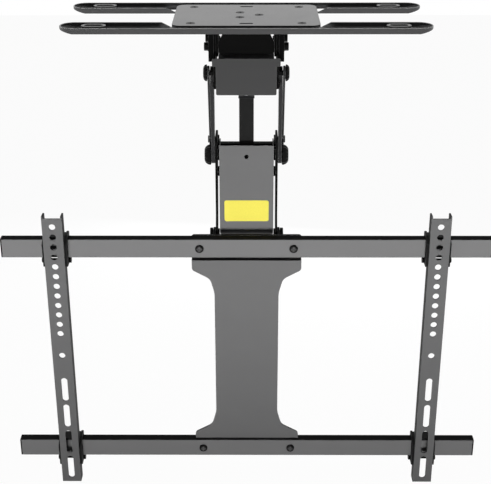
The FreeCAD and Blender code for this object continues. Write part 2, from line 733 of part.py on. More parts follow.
def timing_link():
    """Right-hand timing link, which turns the mast as the arms rise."""
    top, foot = V(0, *LINK_PIVOT), V(0, *LINK_FOOT)
    along = (foot - top).normalize()
    across = V(0, -along.z, along.y)
    half = LINK_WIDTH / 2
    corners = [top + across * half, foot + across * half, foot - across * half, top - across * half]
    bar = side_plate([(p.y, p.z, 0) for p in corners], LINK_INSIDE, LINK_OUTSIDE)
    upper = cylinder_x(LINK_PIVOT, LINK_END_RADIUS, LINK_INSIDE, LINK_OUTSIDE)
    lower = cylinder_x(LINK_FOOT, LINK_END_RADIUS, LINK_INSIDE, LINK_OUTSIDE)
    body = fuse(bar, upper, lower)
    body = body.cut(cylinder_x(LINK_PIVOT, LINK_PIN_RADIUS + RUNNING_GAP, 0, FAR))
    return body.cut(cylinder_x(LINK_FOOT, LINK_PIN_RADIUS + LINK_LOST_MOTION, 0, FAR))


def mast_plate():
    """Right-hand side plate of the mast."""
    shape = [
        (MAST_FRONT, MAST_TOP, MAST_CORNER),
        (MAST_FRONT, TILT_PIVOT[1] + MAST_CHIN_RISE, MAST_CORNER),
        (TILT_PIVOT[0] - MAST_FOOT_HALF, TILT_PIVOT[1] + MAST_FOOT_CORNER, MAST_FOOT_CORNER),
        (TILT_PIVOT[0] - MAST_FOOT_HALF, MAST_BOTTOM, MAST_FOOT_CORNER),
        (TILT_PIVOT[0] + MAST_FOOT_HALF, MAST_BOTTOM, MAST_FOOT_CORNER),
        (TILT_PIVOT[0] + MAST_HEEL, TILT_PIVOT[1] + MAST_HEEL_RISE, MAST_CORNER),
        (ACTUATOR_PIVOT[0] + MAST_WAIST, ACTUATOR_PIVOT[1] - MAST_WAIST_DROP, MAST_WAIST_CORNER),
        (MAST_REAR, LINK_FOOT[1] - MAST_SHOULDER_DROP, MAST_CORNER),
        (MAST_REAR, MAST_TOP, MAST_CORNER),
    ]
    body = side_plate(shape, CHEEK_INSIDE, CHEEK_OUTSIDE)
    pins = (
        (ELBOW_PIVOT, PIN_RADIUS), (LINK_FOOT, LINK_PIN_RADIUS),
        (ACTUATOR_PIVOT, ACTUATOR_PIN_RADIUS), (TILT_PIVOT, TILT_PIN_RADIUS),
    )
    for pivot, radius in pins:
        body = body.cut(cylinder_x(pivot, radius, 0, FAR))
    return body


def elbow_pins():
    """Headed pins of the elbow, one a side, from inside the cover out to the elbow caps."""
    seat = COVER_HALF_WIDTH - COVER_STEEL
    head = cylinder_x(ELBOW_PIVOT, PIN_HEAD_RADIUS, seat - PIN_COLLAR_THICK, seat)
    shank = cylinder_x(ELBOW_PIVOT, PIN_RADIUS, seat, LINK_INSIDE)
    return both(fuse(head, shank))


def elbow_caps():
    """Large domed discs that close the elbow pivots."""
    outside = LINK_INSIDE + ELBOW_THICK
    disc = cylinder_x(ELBOW_PIVOT, ELBOW_RADIUS, LINK_INSIDE, outside)
    dimple = cylinder_x(ELBOW_PIVOT, DIMPLE_RADIUS, outside - DIMPLE_DEPTH, outside)
    return both(round_outside(disc, outside).cut(dimple))


def link_foot_pins():
    """Headed pins on the mast plates that the timing links' lower ends turn on."""
    head = cylinder_x(LINK_FOOT, FOOT_HEAD_RADIUS, CHEEK_INSIDE - FOOT_HEAD_THICK, CHEEK_INSIDE)
    shank = cylinder_x(LINK_FOOT, LINK_PIN_RADIUS, CHEEK_INSIDE, KNUCKLE_INSIDE)
    cap = cylinder_x(LINK_FOOT, FOOT_CAP_RADIUS, KNUCKLE_INSIDE, KNUCKLE_INSIDE + FOOT_CAP_THICK)
    return both(fuse(head, shank, cap))


def mast_brace():
    """Folded cross bar, open below, that ties the two mast plates together behind the actuator."""
    low = BRACE_TOP - BRACE_HEIGHT
    outer = rectangle(BRACE_FRONT, BRACE_REAR, low, BRACE_TOP, BRACE_CORNER)
    wall = BRACE_STEEL
    inner = rectangle(BRACE_FRONT + wall, BRACE_REAR - wall, low - wall, BRACE_TOP - wall, BRACE_CORNER / 3)
    return side_plate(outer, -CHEEK_INSIDE, CHEEK_INSIDE).cut(side_plate(inner, -CHEEK_INSIDE, CHEEK_INSIDE))


def mast_cover():
    """Folded cover in front of the actuator, curled back at its foot."""
    back = COVER_FRONT + COVER_STEEL
    half = COVER_HALF_WIDTH
    bend_z = COVER_BOTTOM + COVER_BEND
    inner = COVER_BEND - COVER_STEEL
    face = box(-half, half, COVER_FRONT, back, bend_z, COVER_TOP)
    centre = (COVER_FRONT + COVER_BEND, bend_z)
    curl = cylinder_x(centre, COVER_BEND, -half, half).cut(cylinder_x(centre, inner, -half, half))
    curl = curl.common(box(-half, half, COVER_FRONT, centre[0], COVER_BOTTOM, bend_z))
    lip = box(-half, half, centre[0], centre[0] + COVER_LIP, COVER_BOTTOM, COVER_BOTTOM + COVER_STEEL)
    flange = box(half - COVER_STEEL, half, COVER_FRONT, COVER_FLANGE_REAR, bend_z, COVER_TOP)
    body = fuse(face, curl, lip, flange, mirror_x(flange))
    body = body.cut(cylinder_x(ELBOW_PIVOT, PIN_RADIUS, -FAR, FAR))
    body = body.cut(cylinder_x(ACTUATOR_PIVOT, ACTUATOR_PIN_RADIUS, -FAR, FAR))
    return body.cut(cylinder_y(0, COVER_TOP - COVER_HOLE_DROP, COVER_HOLE_RADIUS, COVER_FRONT, back))


def cover_label():
    """Bare yellow sticker on the cover."""
    half_w, half_h = LABEL_WIDTH / 2, LABEL_HEIGHT / 2
    shape = rectangle(-half_w, half_w, LABEL_CENTRE_Z - half_h, LABEL_CENTRE_Z + half_h, LABEL_CORNER)
    return front_plate(shape, COVER_FRONT - LABEL_THICK, COVER_FRONT)


def cover_spacers():
    """Rings that hold the cover midway between the mast plates."""
    rings = []
    for pivot, radius in ((ELBOW_PIVOT, PIN_RADIUS), (ACTUATOR_PIVOT, ACTUATOR_PIN_RADIUS)):
        ring = cylinder_x(pivot, radius + RING_WALL, COVER_HALF_WIDTH, CHEEK_INSIDE)
        rings.append(ring.cut(cylinder_x(pivot, radius, COVER_HALF_WIDTH, CHEEK_INSIDE)))
    return both(group(rings))


def actuator_pin():
    """Cross pin of the mast that the actuator turns on."""
    return cylinder_x(ACTUATOR_PIVOT, ACTUATOR_PIN_RADIUS, -CHEEK_OUTSIDE, CHEEK_OUTSIDE)


def actuator_axis():
    """Unit vector from the actuator's pivot to the rod's pivot."""
    return (V(0, *ROD_PIVOT) - V(0, *ACTUATOR_PIVOT)).normalize()


def along_actuator(shape):
    """Turns a shape drawn upright from the origin so that it lies along the actuator."""
    axis = actuator_axis()
    turn = math.degrees(math.atan2(-axis.y, axis.z))
    moved = shape.copy()
    moved.rotate(V(0, 0, 0), V(1, 0, 0), turn)
    moved.translate(V(0, *ACTUATOR_PIVOT))
    return moved


def gear_housing():
    """Cast gear case round the actuator's pivot."""
    half = HOUSING_HALF_WIDTH
    body = box(-half, half, HOUSING_FRONT, HOUSING_REAR, HOUSING_BOTTOM, HOUSING_TOP)
    body = body.makeFillet(HOUSING_CORNER, body.Edges)
    seat = cylinder_z(0, MOTOR_AXIS_Y, MOTOR_RADIUS + MOTOR_SEAT_WALL, HOUSING_BOTTOM,
                      HOUSING_BOTTOM + MOTOR_SEAT_HEIGHT)
    body = fuse(body, seat)
    body = body.cut(cylinder_x(ACTUATOR_PIVOT, ACTUATOR_PIN_RADIUS + RUNNING_GAP, -FAR, FAR))
    return body.cut(tube_space())


def tube_space():
    """Space that the actuator's tube fills, used to seat it in the gear case."""
    half_w, half_d = TUBE_HALF_WIDTH, TUBE_HALF_DEPTH
    return along_actuator(box(-half_w, half_w, -half_d, half_d, TUBE_FOOT, TUBE_REACH))


def drive_motor():
    """Motor can below the gear case."""
    foot = HOUSING_BOTTOM - MOTOR_LENGTH
    can = cylinder_z(0, MOTOR_AXIS_Y, MOTOR_RADIUS, foot, HOUSING_BOTTOM)
    can = can.makeFillet(MOTOR_ROUND, [e for e in can.Edges if e.BoundBox.ZMax < foot + MOTOR_ROUND / 2])
    return fuse(can, cylinder_z(0, MOTOR_AXIS_Y, MOTOR_BOSS_RADIUS, foot - MOTOR_BOSS_HEIGHT, foot))


def actuator_tube():
    """Square outer tube that guides the rod."""
    bore = cylinder_z(0, 0, ROD_RADIUS + RUNNING_GAP, TUBE_FOOT + TUBE_FLOOR, TUBE_REACH)
    return tube_space().cut(along_actuator(bore))


def tube_collar():
    """Wiper collar at the mouth of the tube."""
    w, d = TUBE_HALF_WIDTH + COLLAR_PROUD, TUBE_HALF_DEPTH + COLLAR_PROUD
    body = box(-w, w, -d, d, TUBE_REACH, TUBE_REACH + COLLAR_THICK)
    hole = cylinder_z(0, 0, ROD_RADIUS + RUNNING_GAP, TUBE_REACH, TUBE_REACH + COLLAR_THICK)
    return along_actuator(body.cut(hole))


def actuator_rod():
    """Round rod that draws into the tube as the mount folds."""
    foot = TUBE_FOOT + TUBE_FLOOR + STROKE + ROD_FOOT_GAP
    rod = cylinder_z(0, 0, ROD_RADIUS, foot, LOWERED_LENGTH - EYE_RADIUS + ROD_SEAT)
    return along_actuator(rod).cut(eye_blank())


def eye_blank():
    """Round barrel of the rod's eye."""
    return cylinder_x(ROD_PIVOT, EYE_RADIUS, -EYE_HALF_WIDTH, EYE_HALF_WIDTH)


def rod_eye():
    """Eye on the rod; its hole is wide, because the pin wanders a little in it as the mount folds."""
    return eye_blank().cut(cylinder_x(ROD_PIVOT, ACTUATOR_PIN_RADIUS + EYE_LOST_MOTION, -FAR, FAR))


def tilt_pins():
    """Pins of the tilt pivot, with a round head outside and a low one inside."""
    outside = CHEEK_OUTSIDE + PLANE_GAP + TILT_BRACKET_STEEL + PLANE_GAP
    head = cylinder_x(TILT_PIVOT, TILT_HEAD_RADIUS, outside, outside + TILT_HEAD_THICK)
    shank = cylinder_x(TILT_PIVOT, TILT_PIN_RADIUS, CHEEK_INSIDE, outside)
    inner = cylinder_x(TILT_PIVOT, TILT_INNER_RADIUS, CHEEK_INSIDE - TILT_INNER_THICK, CHEEK_INSIDE)
    return both(fuse(head, shank, inner))


def tilt_bracket():
    """Folded bracket behind the spine whose ears hold the tilt pins."""
    ear_in = CHEEK_OUTSIDE + PLANE_GAP
    ear_out = ear_in + TILT_BRACKET_STEEL
    top = SPINE_TOP - TILT_BRACKET_TOP_GAP
    low = top - TILT_BRACKET_HEIGHT
    web = box(-ear_out, ear_out, SPINE_BACK, SPINE_BACK + TILT_BRACKET_STEEL, low, top)
    rear = TILT_PIVOT[0] + TILT_EAR_REAR
    ear_top = TILT_PIVOT[1] + TILT_EAR_RISE
    shape = [
        (SPINE_BACK, ear_top, 0), (SPINE_BACK, low, 0),
        (SPINE_BACK + 2 * TILT_BRACKET_STEEL, low, TILT_EAR_CORNER),
        (rear, TILT_PIVOT[1] - TILT_EAR_DROP, TILT_EAR_CORNER), (rear, ear_top, TILT_EAR_CORNER),
    ]
    ear = side_plate(shape, ear_in, ear_out)
    body = fuse(web, ear, mirror_x(ear))
    return body.cut(cylinder_x(TILT_PIVOT, TILT_PIN_RADIUS + RUNNING_GAP, -FAR, FAR))


def spine_plate():
    """Waisted plate that joins the two tubes.

    Its ends lie behind the tubes. Between them the panel steps forward, and two shelves join it to the ends.
    """
    upper = PANEL_TOP - UPPER_FLARE_EDGE
    lower = PANEL_FOOT + LOWER_FLARE_EDGE
    neck = SPINE_HALF_WIDTH + FLARE_WAIST
    right = [
        (SPINE_FLARE_HALF, PANEL_FOOT, 0),
        (SPINE_FLARE_HALF, lower, FLARE_CORNER),
        (neck, lower + FLARE_SLOPE, NECK_CORNER),
        (SPINE_HALF_WIDTH, lower + FLARE_SLOPE + FLARE_NECK, WAIST_CORNER),
        (SPINE_HALF_WIDTH, upper - FLARE_SLOPE - FLARE_NECK, WAIST_CORNER),
        (neck, upper - FLARE_SLOPE, NECK_CORNER),
        (SPINE_FLARE_HALF, upper, FLARE_CORNER),
        (SPINE_FLARE_HALF, PANEL_TOP, 0),
    ]
    left = [(-x, z, r) for x, z, r in reversed(right)]
    panel = front_plate(right + left, PANEL_FRONT, PANEL_FRONT + SPINE_STEEL)
    half = SPINE_FLARE_HALF
    upper_shelf = box(-half, half, PANEL_FRONT, SPINE_BACK, PANEL_TOP - SPINE_STEEL, PANEL_TOP)
    lower_shelf = box(-half, half, PANEL_FRONT, SPINE_BACK, PANEL_FOOT, PANEL_FOOT + SPINE_STEEL)
    upper_end = [
        (half, PANEL_TOP - SPINE_STEEL, 0), (half, SPINE_TOP, SPINE_CORNER),
        (-half, SPINE_TOP, SPINE_CORNER), (-half, PANEL_TOP - SPINE_STEEL, 0),
    ]
    lower_end = [
        (half, PANEL_FOOT + SPINE_STEEL, 0), (-half, PANEL_FOOT + SPINE_STEEL, 0),
        (-half, SPINE_BOTTOM, SPINE_CORNER), (half, SPINE_BOTTOM, SPINE_CORNER),
    ]
    ends = [front_plate(shape, TUBE_BACK, SPINE_BACK) for shape in (upper_end, lower_end)]
    body = fuse(panel, upper_shelf, lower_shelf, *ends)
    for x, z in spine_screw_places():
        body = body.cut(cylinder_y(x, z, SPINE_SCREW_RADIUS, -FAR, FAR))
    return body


def spine_screw_places():
    """Two screws through each tube."""
    return [(side * SPINE_SCREW_X, z) for z in (UPPER_TUBE_Z, LOWER_TUBE_Z) for side in (-1, 1)]


def spine_screws():
    """Screws that hold the tubes to the spine, with nuts behind."""
    screws = []
    for x, z in spine_screw_places():
        head = cylinder_y(x, z, SPINE_HEAD_RADIUS, TUBE_FRONT - SPINE_HEAD_THICK, TUBE_FRONT)
        front = [e for e in head.Edges if e.BoundBox.YMax < TUBE_FRONT - SPINE_HEAD_THICK / 2]
        head = head.makeFillet(SPINE_HEAD_ROUND, front)
        shank = cylinder_y(x, z, SPINE_SCREW_RADIUS, TUBE_FRONT, SPINE_BACK)
        nut = cylinder_y(x, z, SPINE_HEAD_RADIUS, SPINE_BACK, SPINE_BACK + SPINE_NUT_THICK)
        screws.append(fuse(head, shank, nut))
    return group(screws)


def cross_tube(z):
    """Rectangular tube across the head at height z."""
    half_l, half_h = TUBE_LENGTH / 2, TUBE_HEIGHT / 2
    outside = rectangle(TUBE_FRONT, TUBE_BACK, z - half_h, z + half_h, TUBE_CORNER)
    w = TUBE_WALL
    inside = rectangle(TUBE_FRONT + w, TUBE_BACK - w, z - half_h + w, z + half_h - w, TUBE_CORNER / 2)
    body = side_plate(outside, -half_l, half_l).cut(side_plate(inside, -half_l, half_l))
    for x, screw_z in spine_screw_places():
        if screw_z == z:
            body = body.cut(cylinder_y(x, z, SPINE_SCREW_RADIUS, TUBE_FRONT, TUBE_BACK))
    return body


def tube_end_caps():
    """Plastic plugs in the four tube ends."""
    half_h, w = TUBE_HEIGHT / 2, TUBE_WALL
    end = TUBE_LENGTH / 2
    caps = []
    for z in (UPPER_TUBE_Z, LOWER_TUBE_Z):
        plug = rectangle(TUBE_FRONT + w, TUBE_BACK - w, z - half_h + w, z + half_h - w, TUBE_CORNER / 2)
        rim = rectangle(TUBE_FRONT, TUBE_BACK, z - half_h, z + half_h, TUBE_CORNER)
        body = fuse(side_plate(plug, end - END_CAP_PLUG, end), side_plate(rim, end, end + END_CAP_THICK))
        caps += [body, mirror_x(body)]
    return group(caps)


def vesa_arm():
    """Right-hand screen arm, a channel with a row of holes above and long slots below."""
    x, half = VESA_ARM_X, VESA_ARM_WIDTH / 2
    back = TUBE_FRONT - SLIDE_GAP
    front = back - VESA_ARM_DEPTH
    top, low = VESA_ARM_TOP, VESA_ARM_TOP - VESA_ARM_LENGTH
    web = box(x - half, x + half, front, front + VESA_STEEL, low, top)
    side = rectangle(front, back, low, top + VESA_EAR, VESA_CORNER)
    left = side_plate(side, x - half, x - half + VESA_STEEL)
    right = side_plate(side, x + half - VESA_STEEL, x + half)
    body = fuse(web, left, right)
    drops = [FIRST_HOLE_DROP + i * HOLE_PITCH for i in range(HOLE_COUNT)] + [MIDDLE_HOLE_DROP]
    for drop in drops:
        body = body.cut(cylinder_y(x, top - drop, HOLE_RADIUS, front, front + VESA_STEEL))
    for i in range(SLOT_COUNT):
        end = low + LAST_SLOT_MARGIN + i * SLOT_PITCH
        long_hole = rectangle(x - HOLE_RADIUS, x + HOLE_RADIUS, end, end + SLOT_LENGTH, HOLE_RADIUS)
        body = body.cut(front_plate(long_hole, front, front + VESA_STEEL))
    return body


def tube_clamp(tube_z):
    """Hook of a screen arm round one tube: two cheeks joined over the tube and behind it."""
    x, half = VESA_ARM_X, VESA_ARM_WIDTH / 2
    front = TUBE_FRONT - CLAMP_NOSE
    over = tube_z + TUBE_HEIGHT / 2 + SLIDE_GAP
    under = tube_z - TUBE_HEIGHT / 2 - SLIDE_GAP
    behind = TUBE_BACK + SLIDE_GAP
    rear = behind + CLAMP_STEEL
    chin = TUBE_FRONT + CLAMP_CHIN_DEPTH
    shape = [
        (front, over - CLAMP_STEEL, CLAMP_CORNER), (TUBE_FRONT, over + CLAMP_HOOK, CLAMP_CORNER),
        (rear, over + CLAMP_HOOK, CLAMP_CORNER),
        (rear, under + CLAMP_BACK_GAP, CLAMP_CORNER / 2), (behind, under + CLAMP_BACK_GAP, 0),
        (behind, over, 0), (TUBE_FRONT - SLIDE_GAP, over, 0), (TUBE_FRONT - SLIDE_GAP, under, 0),
        (chin, under, 0),
        (chin, under - CLAMP_CHIN, CLAMP_CORNER), (front, under - CLAMP_CHIN, CLAMP_CORNER),
    ]
    right = side_plate(shape, x + half, x + half + CLAMP_STEEL)
    left = side_plate(shape, x - half - CLAMP_STEEL, x - half)
    bridge = box(x - half, x + half, TUBE_FRONT, rear, over, over + CLAMP_STEEL)
    apron = box(x - half, x + half, behind, rear, tube_z, over)
    body = fuse(right, left, bridge, apron)
    return body.cut(cylinder_x(clamp_screw_place(tube_z), CLAMP_SCREW_RADIUS, 0, FAR))


def clamp_screw_place(tube_z):
    """Lock screw below the tube, as (y, z)."""
    return (TUBE_FRONT + CLAMP_CHIN_DEPTH / 2, tube_z - TUBE_HEIGHT / 2 - SLIDE_GAP - CLAMP_CHIN / 2)


def clamp_screws():
    """Lock screws under both tubes on the right-hand arm."""
    inner = VESA_ARM_X - VESA_ARM_WIDTH / 2 - CLAMP_STEEL
    outer = VESA_ARM_X + VESA_ARM_WIDTH / 2 + CLAMP_STEEL
    screws = []
    for z in (UPPER_TUBE_Z, LOWER_TUBE_Z):
        place = clamp_screw_place(z)
        shank = cylinder_x(place, CLAMP_SCREW_RADIUS, inner, outer)
        head = cylinder_x(place, CLAMP_SCREW_HEAD, outer, outer + CLAMP_SCREW_HEAD_THICK)
        nut = hexagon_x(place, CLAMP_NUT_FLATS, inner - CLAMP_NUT_THICK, inner)
        screws.append(fuse(shank, head, nut))
    return group(screws)


def nodes():
    """Every sub-part by name."""
    parts = {
        "ceiling_plate": ceiling_plate(),
        "front_rail": front_rail(),
        "rear_rail": rear_rail(),
        "rail_screws": rail_screws(),
        "saddle_bracket": saddle_bracket(),
        "saddle_screws": saddle_screws(),
        "control_box": control_box(),
        "power_inlet": power_inlet(),
        "cheek_bolts": cheek_bolts(),
        "front_skirt": front_skirt(),
        "skirt_screws": skirt_screws(),
        "swing_pins": swing_pins(),
        "link_top_pins": link_top_pins(),
        "rod_pin": rod_pin(),
        "swing_bushes": swing_bushes(),
        "elbow_pins": elbow_pins(),
        "elbow_caps": elbow_caps(),
        "link_foot_pins": link_foot_pins(),
        "mast_brace": mast_brace(),
        "mast_cover": mast_cover(),
        "cover_label": cover_label(),
        "cover_spacers": cover_spacers(),
        "actuator_pin": actuator_pin(),
        "gear_housing": gear_housing(),
        "drive_motor": drive_motor(),
        "actuator_tube": actuator_tube(),
        "tube_collar": tube_collar(),
        "actuator_rod": actuator_rod(),
        "rod_eye": rod_eye(),
        "tilt_pins": tilt_pins(),
        "tilt_bracket": tilt_bracket(),
        "spine_plate": spine_plate(),
        "spine_screws": spine_screws(),
        "upper_tube": cross_tube(UPPER_TUBE_Z),
        "lower_tube": cross_tube(LOWER_TUBE_Z),
        "tube_end_caps": tube_end_caps(),
    }
    handed = {
        "cheek": cheek(),
        "cheek_guard": cheek_guard(),
        "swing_arm": swing_arm(),
        "timing_link": timing_link(),
        "mast_plate": mast_plate(),
        "vesa_arm": vesa_arm(),
        "upper_clamp": tube_clamp(UPPER_TUBE_Z),
        "lower_clamp": tube_clamp(LOWER_TUBE_Z),
        "clamp_screws": clamp_screws(),
    }
    for name, shape in handed.items():
        parts["right_" + name] = shape
        parts["left_" + name] = mirror_x(shape)
    return parts


def main():
    """Writes one STEP file per sub-part."""
    os.makedirs("parts", exist_ok=True)
    for name, shape in nodes().items():
        if not shape.isValid() or not shape.Solids:
            raise ValueError(f"{name} isn't a valid solid")
        shape.exportStep(os.path.join("parts", name + ".step"))
        print(f"{name}: {len(shape.Solids)} solids, {shape.Volume:.0f} mm3")


main()
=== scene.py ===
"""Looks of a motorized flip-down ceiling mount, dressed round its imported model.

Metres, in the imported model's frame: +Z is up, the viewer stands on the -Y side, +X is to the right.
The model stays the fixed frame. This script softens its edges, gives every surface its finish,
makes the screws, caps and ribs, and sets up a plain studio.
"""
from __future__ import annotations

import json
import logging
import math
from dataclasses import dataclass
from enum import Enum
from typing import Any, Iterable, Mapping, Sequence

import bmesh
import bpy
from mathutils import Matrix, Vector

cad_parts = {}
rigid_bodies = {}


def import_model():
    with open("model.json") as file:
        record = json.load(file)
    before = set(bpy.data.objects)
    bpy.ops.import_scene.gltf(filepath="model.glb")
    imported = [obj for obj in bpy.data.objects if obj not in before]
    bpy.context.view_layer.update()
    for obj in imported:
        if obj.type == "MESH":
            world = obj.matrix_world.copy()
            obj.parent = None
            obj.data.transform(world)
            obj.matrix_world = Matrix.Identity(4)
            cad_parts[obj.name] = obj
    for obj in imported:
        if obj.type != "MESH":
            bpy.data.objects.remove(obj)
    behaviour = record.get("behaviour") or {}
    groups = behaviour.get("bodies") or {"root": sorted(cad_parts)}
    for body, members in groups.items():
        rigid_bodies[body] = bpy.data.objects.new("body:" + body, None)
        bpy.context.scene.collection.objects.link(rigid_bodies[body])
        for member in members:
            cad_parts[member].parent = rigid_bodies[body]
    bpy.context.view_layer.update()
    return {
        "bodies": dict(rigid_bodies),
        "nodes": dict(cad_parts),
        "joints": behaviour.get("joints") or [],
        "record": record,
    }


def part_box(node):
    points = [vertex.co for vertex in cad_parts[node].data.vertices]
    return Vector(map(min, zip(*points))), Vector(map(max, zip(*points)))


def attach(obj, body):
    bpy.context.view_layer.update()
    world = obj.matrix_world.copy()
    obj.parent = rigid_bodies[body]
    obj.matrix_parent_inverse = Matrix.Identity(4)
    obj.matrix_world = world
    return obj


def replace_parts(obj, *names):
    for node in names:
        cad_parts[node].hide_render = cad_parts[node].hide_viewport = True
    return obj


LOG = logging.getLogger("ceiling_mount")
MM = 0.001
PHOTO_WIDTH = 491
SENSOR_WIDTH = 36.0
WHITE = (1.0, 1.0, 1.0, 1.0)

# Attributes that the skins read: softened edges with wear and a painted highlight, and faces with painted
# shade that makes them darker than their finish.
EDGE_SHADING_AND_WEAR = "edge_shading_and_wear"
PAINTED_SHADE = "painted_shade"

# Points closer than this become one.
WELD = 0.002 * MM

# Least share of a face's normal along an axis for the face to look that way.
FACING = 0.6

# Turned pieces: steps round the axis, depth of the rim's dips, depth and sharpness of a cross.
ROUND_STEPS = 72
RIM_DIP = 0.09
CROSS_DEPTH = 0.62
CROSS_POWER = 3.0

# How much a rib's corners are drawn in.
RIB_ROUND = 0.35

Colour = tuple[float, float, float]
Size = tuple[float, float, float]
Tree = bpy.types.NodeTree
Socket = bpy.types.NodeSocket
Piece = bpy.types.Object
Mesh = bpy.types.Mesh


class Skin(Enum):
    """Kinds of surface that share one shader group."""

    POWDER = "powder_coat"
    MOULDED = "moulded_skin"
    CAST = "cast_skin"
    TURNED = "turned_metal"
    FILM = "printed_film"


class Drive(Enum):
    """Recess in a screw's head, as how many lobes it has."""

    NONE = 0
    CROSS = 4
    HEXAGON = 6


class Turn(Enum):
    """Which way a turned piece's head looks, as Euler angles from +Z."""

    RIGHT = (0.0, math.pi / 2, 0.0)
    LEFT = (0.0, -math.pi / 2, 0.0)
    FRONT = (math.pi / 2, 0.0, 0.0)
    BACK = (-math.pi / 2, 0.0, 0.0)
    UP = (0.0, 0.0, 0.0)


# Sign of X, the turn that looks outwards and the turn that looks inwards.
SIDES = {"right": (1, Turn.RIGHT, Turn.LEFT), "left": (-1, Turn.LEFT, Turn.RIGHT)}


class Profile(Enum):
    """Half sections of turned pieces, from the foot's middle to the top's middle.

    Each point is a share of the radius and a share of the height. Points after the rim go
    down into the recess.
    """

    PAN = ((0, 0), (1, 0), (1, 0.42), (0.93, 0.72), (0.74, 0.93), (0.5, 1), (0.46, 0.95),
           (0.4, 0.45), (0, 0.4))
    SUNK = ((0, 0), (0.56, 0), (0.97, 0.9), (1, 1), (0.56, 1), (0.52, 0.96), (0.45, 0.35), (0, 0.3))
    HEAD = ((0, 0), (1, 0), (1.2, 0.04), (1.2, 0.86), (1.02, 1), (0.5, 1), (0, 1))
    SOCKET = ((0, 0), (0.96, 0), (1, 0.06), (1, 0.88), (0.92, 1), (0.6, 1), (0.56, 0.95),
              (0.54, 0.4), (0, 0.34))
    KNOB = ((0, 0), (0.96, 0), (1, 0.1), (0.98, 0.34), (0.9, 0.62), (0.76, 0.86), (0.58, 1),
            (0.46, 1), (0.42, 0.94), (0.38, 0.8), (0, 0.8))
    DISC = ((0, 0), (0.97, 0), (1, 0.1), (1, 0.9), (0.97, 1), (0, 1))


@dataclass(frozen=True)
class Finish:
    """One finish of the mount.

    Attributes:
        slot: The record's material slot.
        skin: Which shader group draws its surface.
        colour: Colour as it looks in plain light, linear.
        edge_shading_and_wear_colour: Colour of the thin band along softened edges: wear with a painted
            highlight, and painted shade where it is darker than the colour, as on the tubes and screen arms.
        roughness: Mean roughness.
        spread: How far the roughness wanders.
        fleck: How much the colour wanders.
        grain: Grains per metre.
        relief: Depth of the grain in metres.
        specular: The shader's specular level.
        metallic: The shader's metallic value.
        coat: The shader's clear coat weight.
    """

    slot: str
    skin: Skin
    colour: Colour
    edge_shading_and_wear_colour: Colour
    roughness: float
    spread: float = 0.08
    fleck: float = 0.10
    grain: float = 2600.0
    relief: float = 0.04 * MM
    specular: float = 0.3
    metallic: float = 0.0
    coat: float = 0.0


def grey(level: float) -> Colour:
    """Even grey of one level."""
    return (level, level, level)


FINISHES: tuple[Finish, ...] = (
    Finish("plate_paint", Skin.POWDER, (0.06, 0.06, 0.061), grey(0.17), 0.36, specular=0.35, coat=0.42),
    Finish("rail_paint", Skin.POWDER, (0.05, 0.05, 0.051), grey(0.42), 0.42, specular=0.2, coat=0.5),
    Finish("frame_paint", Skin.POWDER, (0.165, 0.165, 0.166), grey(0.16), 0.55, specular=0.05),
    Finish("hanger_paint", Skin.POWDER, grey(0.004), grey(0.07), 0.55, specular=0.02),
    Finish("arm_paint", Skin.POWDER, (0.030, 0.030, 0.031), grey(0.16), 0.42, specular=0.1),
    Finish("tube_paint", Skin.POWDER, (0.205, 0.205, 0.206), grey(0.11), 0.6, specular=0.01),
    Finish("screen_arm_paint", Skin.POWDER, (0.150, 0.150, 0.151), grey(0.03), 0.55, specular=0.05),
    Finish("dark_fastener", Skin.TURNED, grey(0.004), grey(0.17), 0.36, specular=0.06),
    Finish("pivot_steel", Skin.TURNED, grey(0.004), grey(0.16), 0.38, specular=0.08),
    Finish("bush_bronze", Skin.TURNED, (0.42, 0.27, 0.10), (0.5, 0.35, 0.15), 0.35, metallic=1.0),
    Finish("box_plastic", Skin.MOULDED, grey(0.004), grey(0.03), 0.55, grain=1500.0, specular=0.04),
    Finish("motor_metal", Skin.CAST, grey(0.012), grey(0.07), 0.5, grain=700.0, relief=0.12 * MM,
           specular=0.1),
    Finish("wiper_plastic", Skin.MOULDED, (0.012, 0.012, 0.013), grey(0.04), 0.6, grain=1500.0,
           specular=0.1),
    Finish("rod_chrome", Skin.TURNED, (0.55, 0.55, 0.57), (0.7, 0.7, 0.72), 0.16, metallic=1.0,
           relief=0.01 * MM),
    Finish("label_film", Skin.FILM, (0.86, 0.77, 0.12), (0.93, 0.86, 0.30), 0.4, grain=900.0,
           relief=0.01 * MM, specular=0.1),
)


def add_node(tree: Tree, kind: str, inputs: Mapping[Any, Any] | None = None,
             **settings: Any) -> bpy.types.Node:
    """Adds one node to a tree.

    Args:
        tree: The tree.
        kind: The node's type name.
        inputs: Values or sockets by input name or number.
        **settings: The node's own properties.

    Returns:
        The new node.
    """
    node = tree.nodes.new(kind)
    for name, value in settings.items():
        setattr(node, name, value)
    for key, value in (inputs or {}).items():
        if isinstance(value, Socket):
            tree.links.new(value, node.inputs[key])
        else:
            node.inputs[key].default_value = value
    return node


def calc(tree: Tree, operation: str, *values: Any) -> Socket:
    """Adds one sum to a shader or geometry tree and returns its result."""
    node = add_node(tree, "ShaderNodeMath", dict(enumerate(values)), operation=operation)
    return node.outputs[0]


def add_sockets(tree: Tree, direction: str, **names: Sequence[str]) -> None:
    """Adds named sockets to a group.

    Args:
        tree: The group.
        direction: INPUT or OUTPUT.
        **names: The sockets' names by their kind, such as Float.
    """
    for kind, group in names.items():
        for name in group:
            tree.interface.new_socket(name=name, in_out=direction, socket_type="NodeSocket" + kind)


def put(name: str, data: bpy.types.ID) -> Piece:
    """Makes an object and links it to the scene."""
    thing = bpy.data.objects.new(name, data)
    bpy.context.scene.collection.objects.link(thing)
    return thing


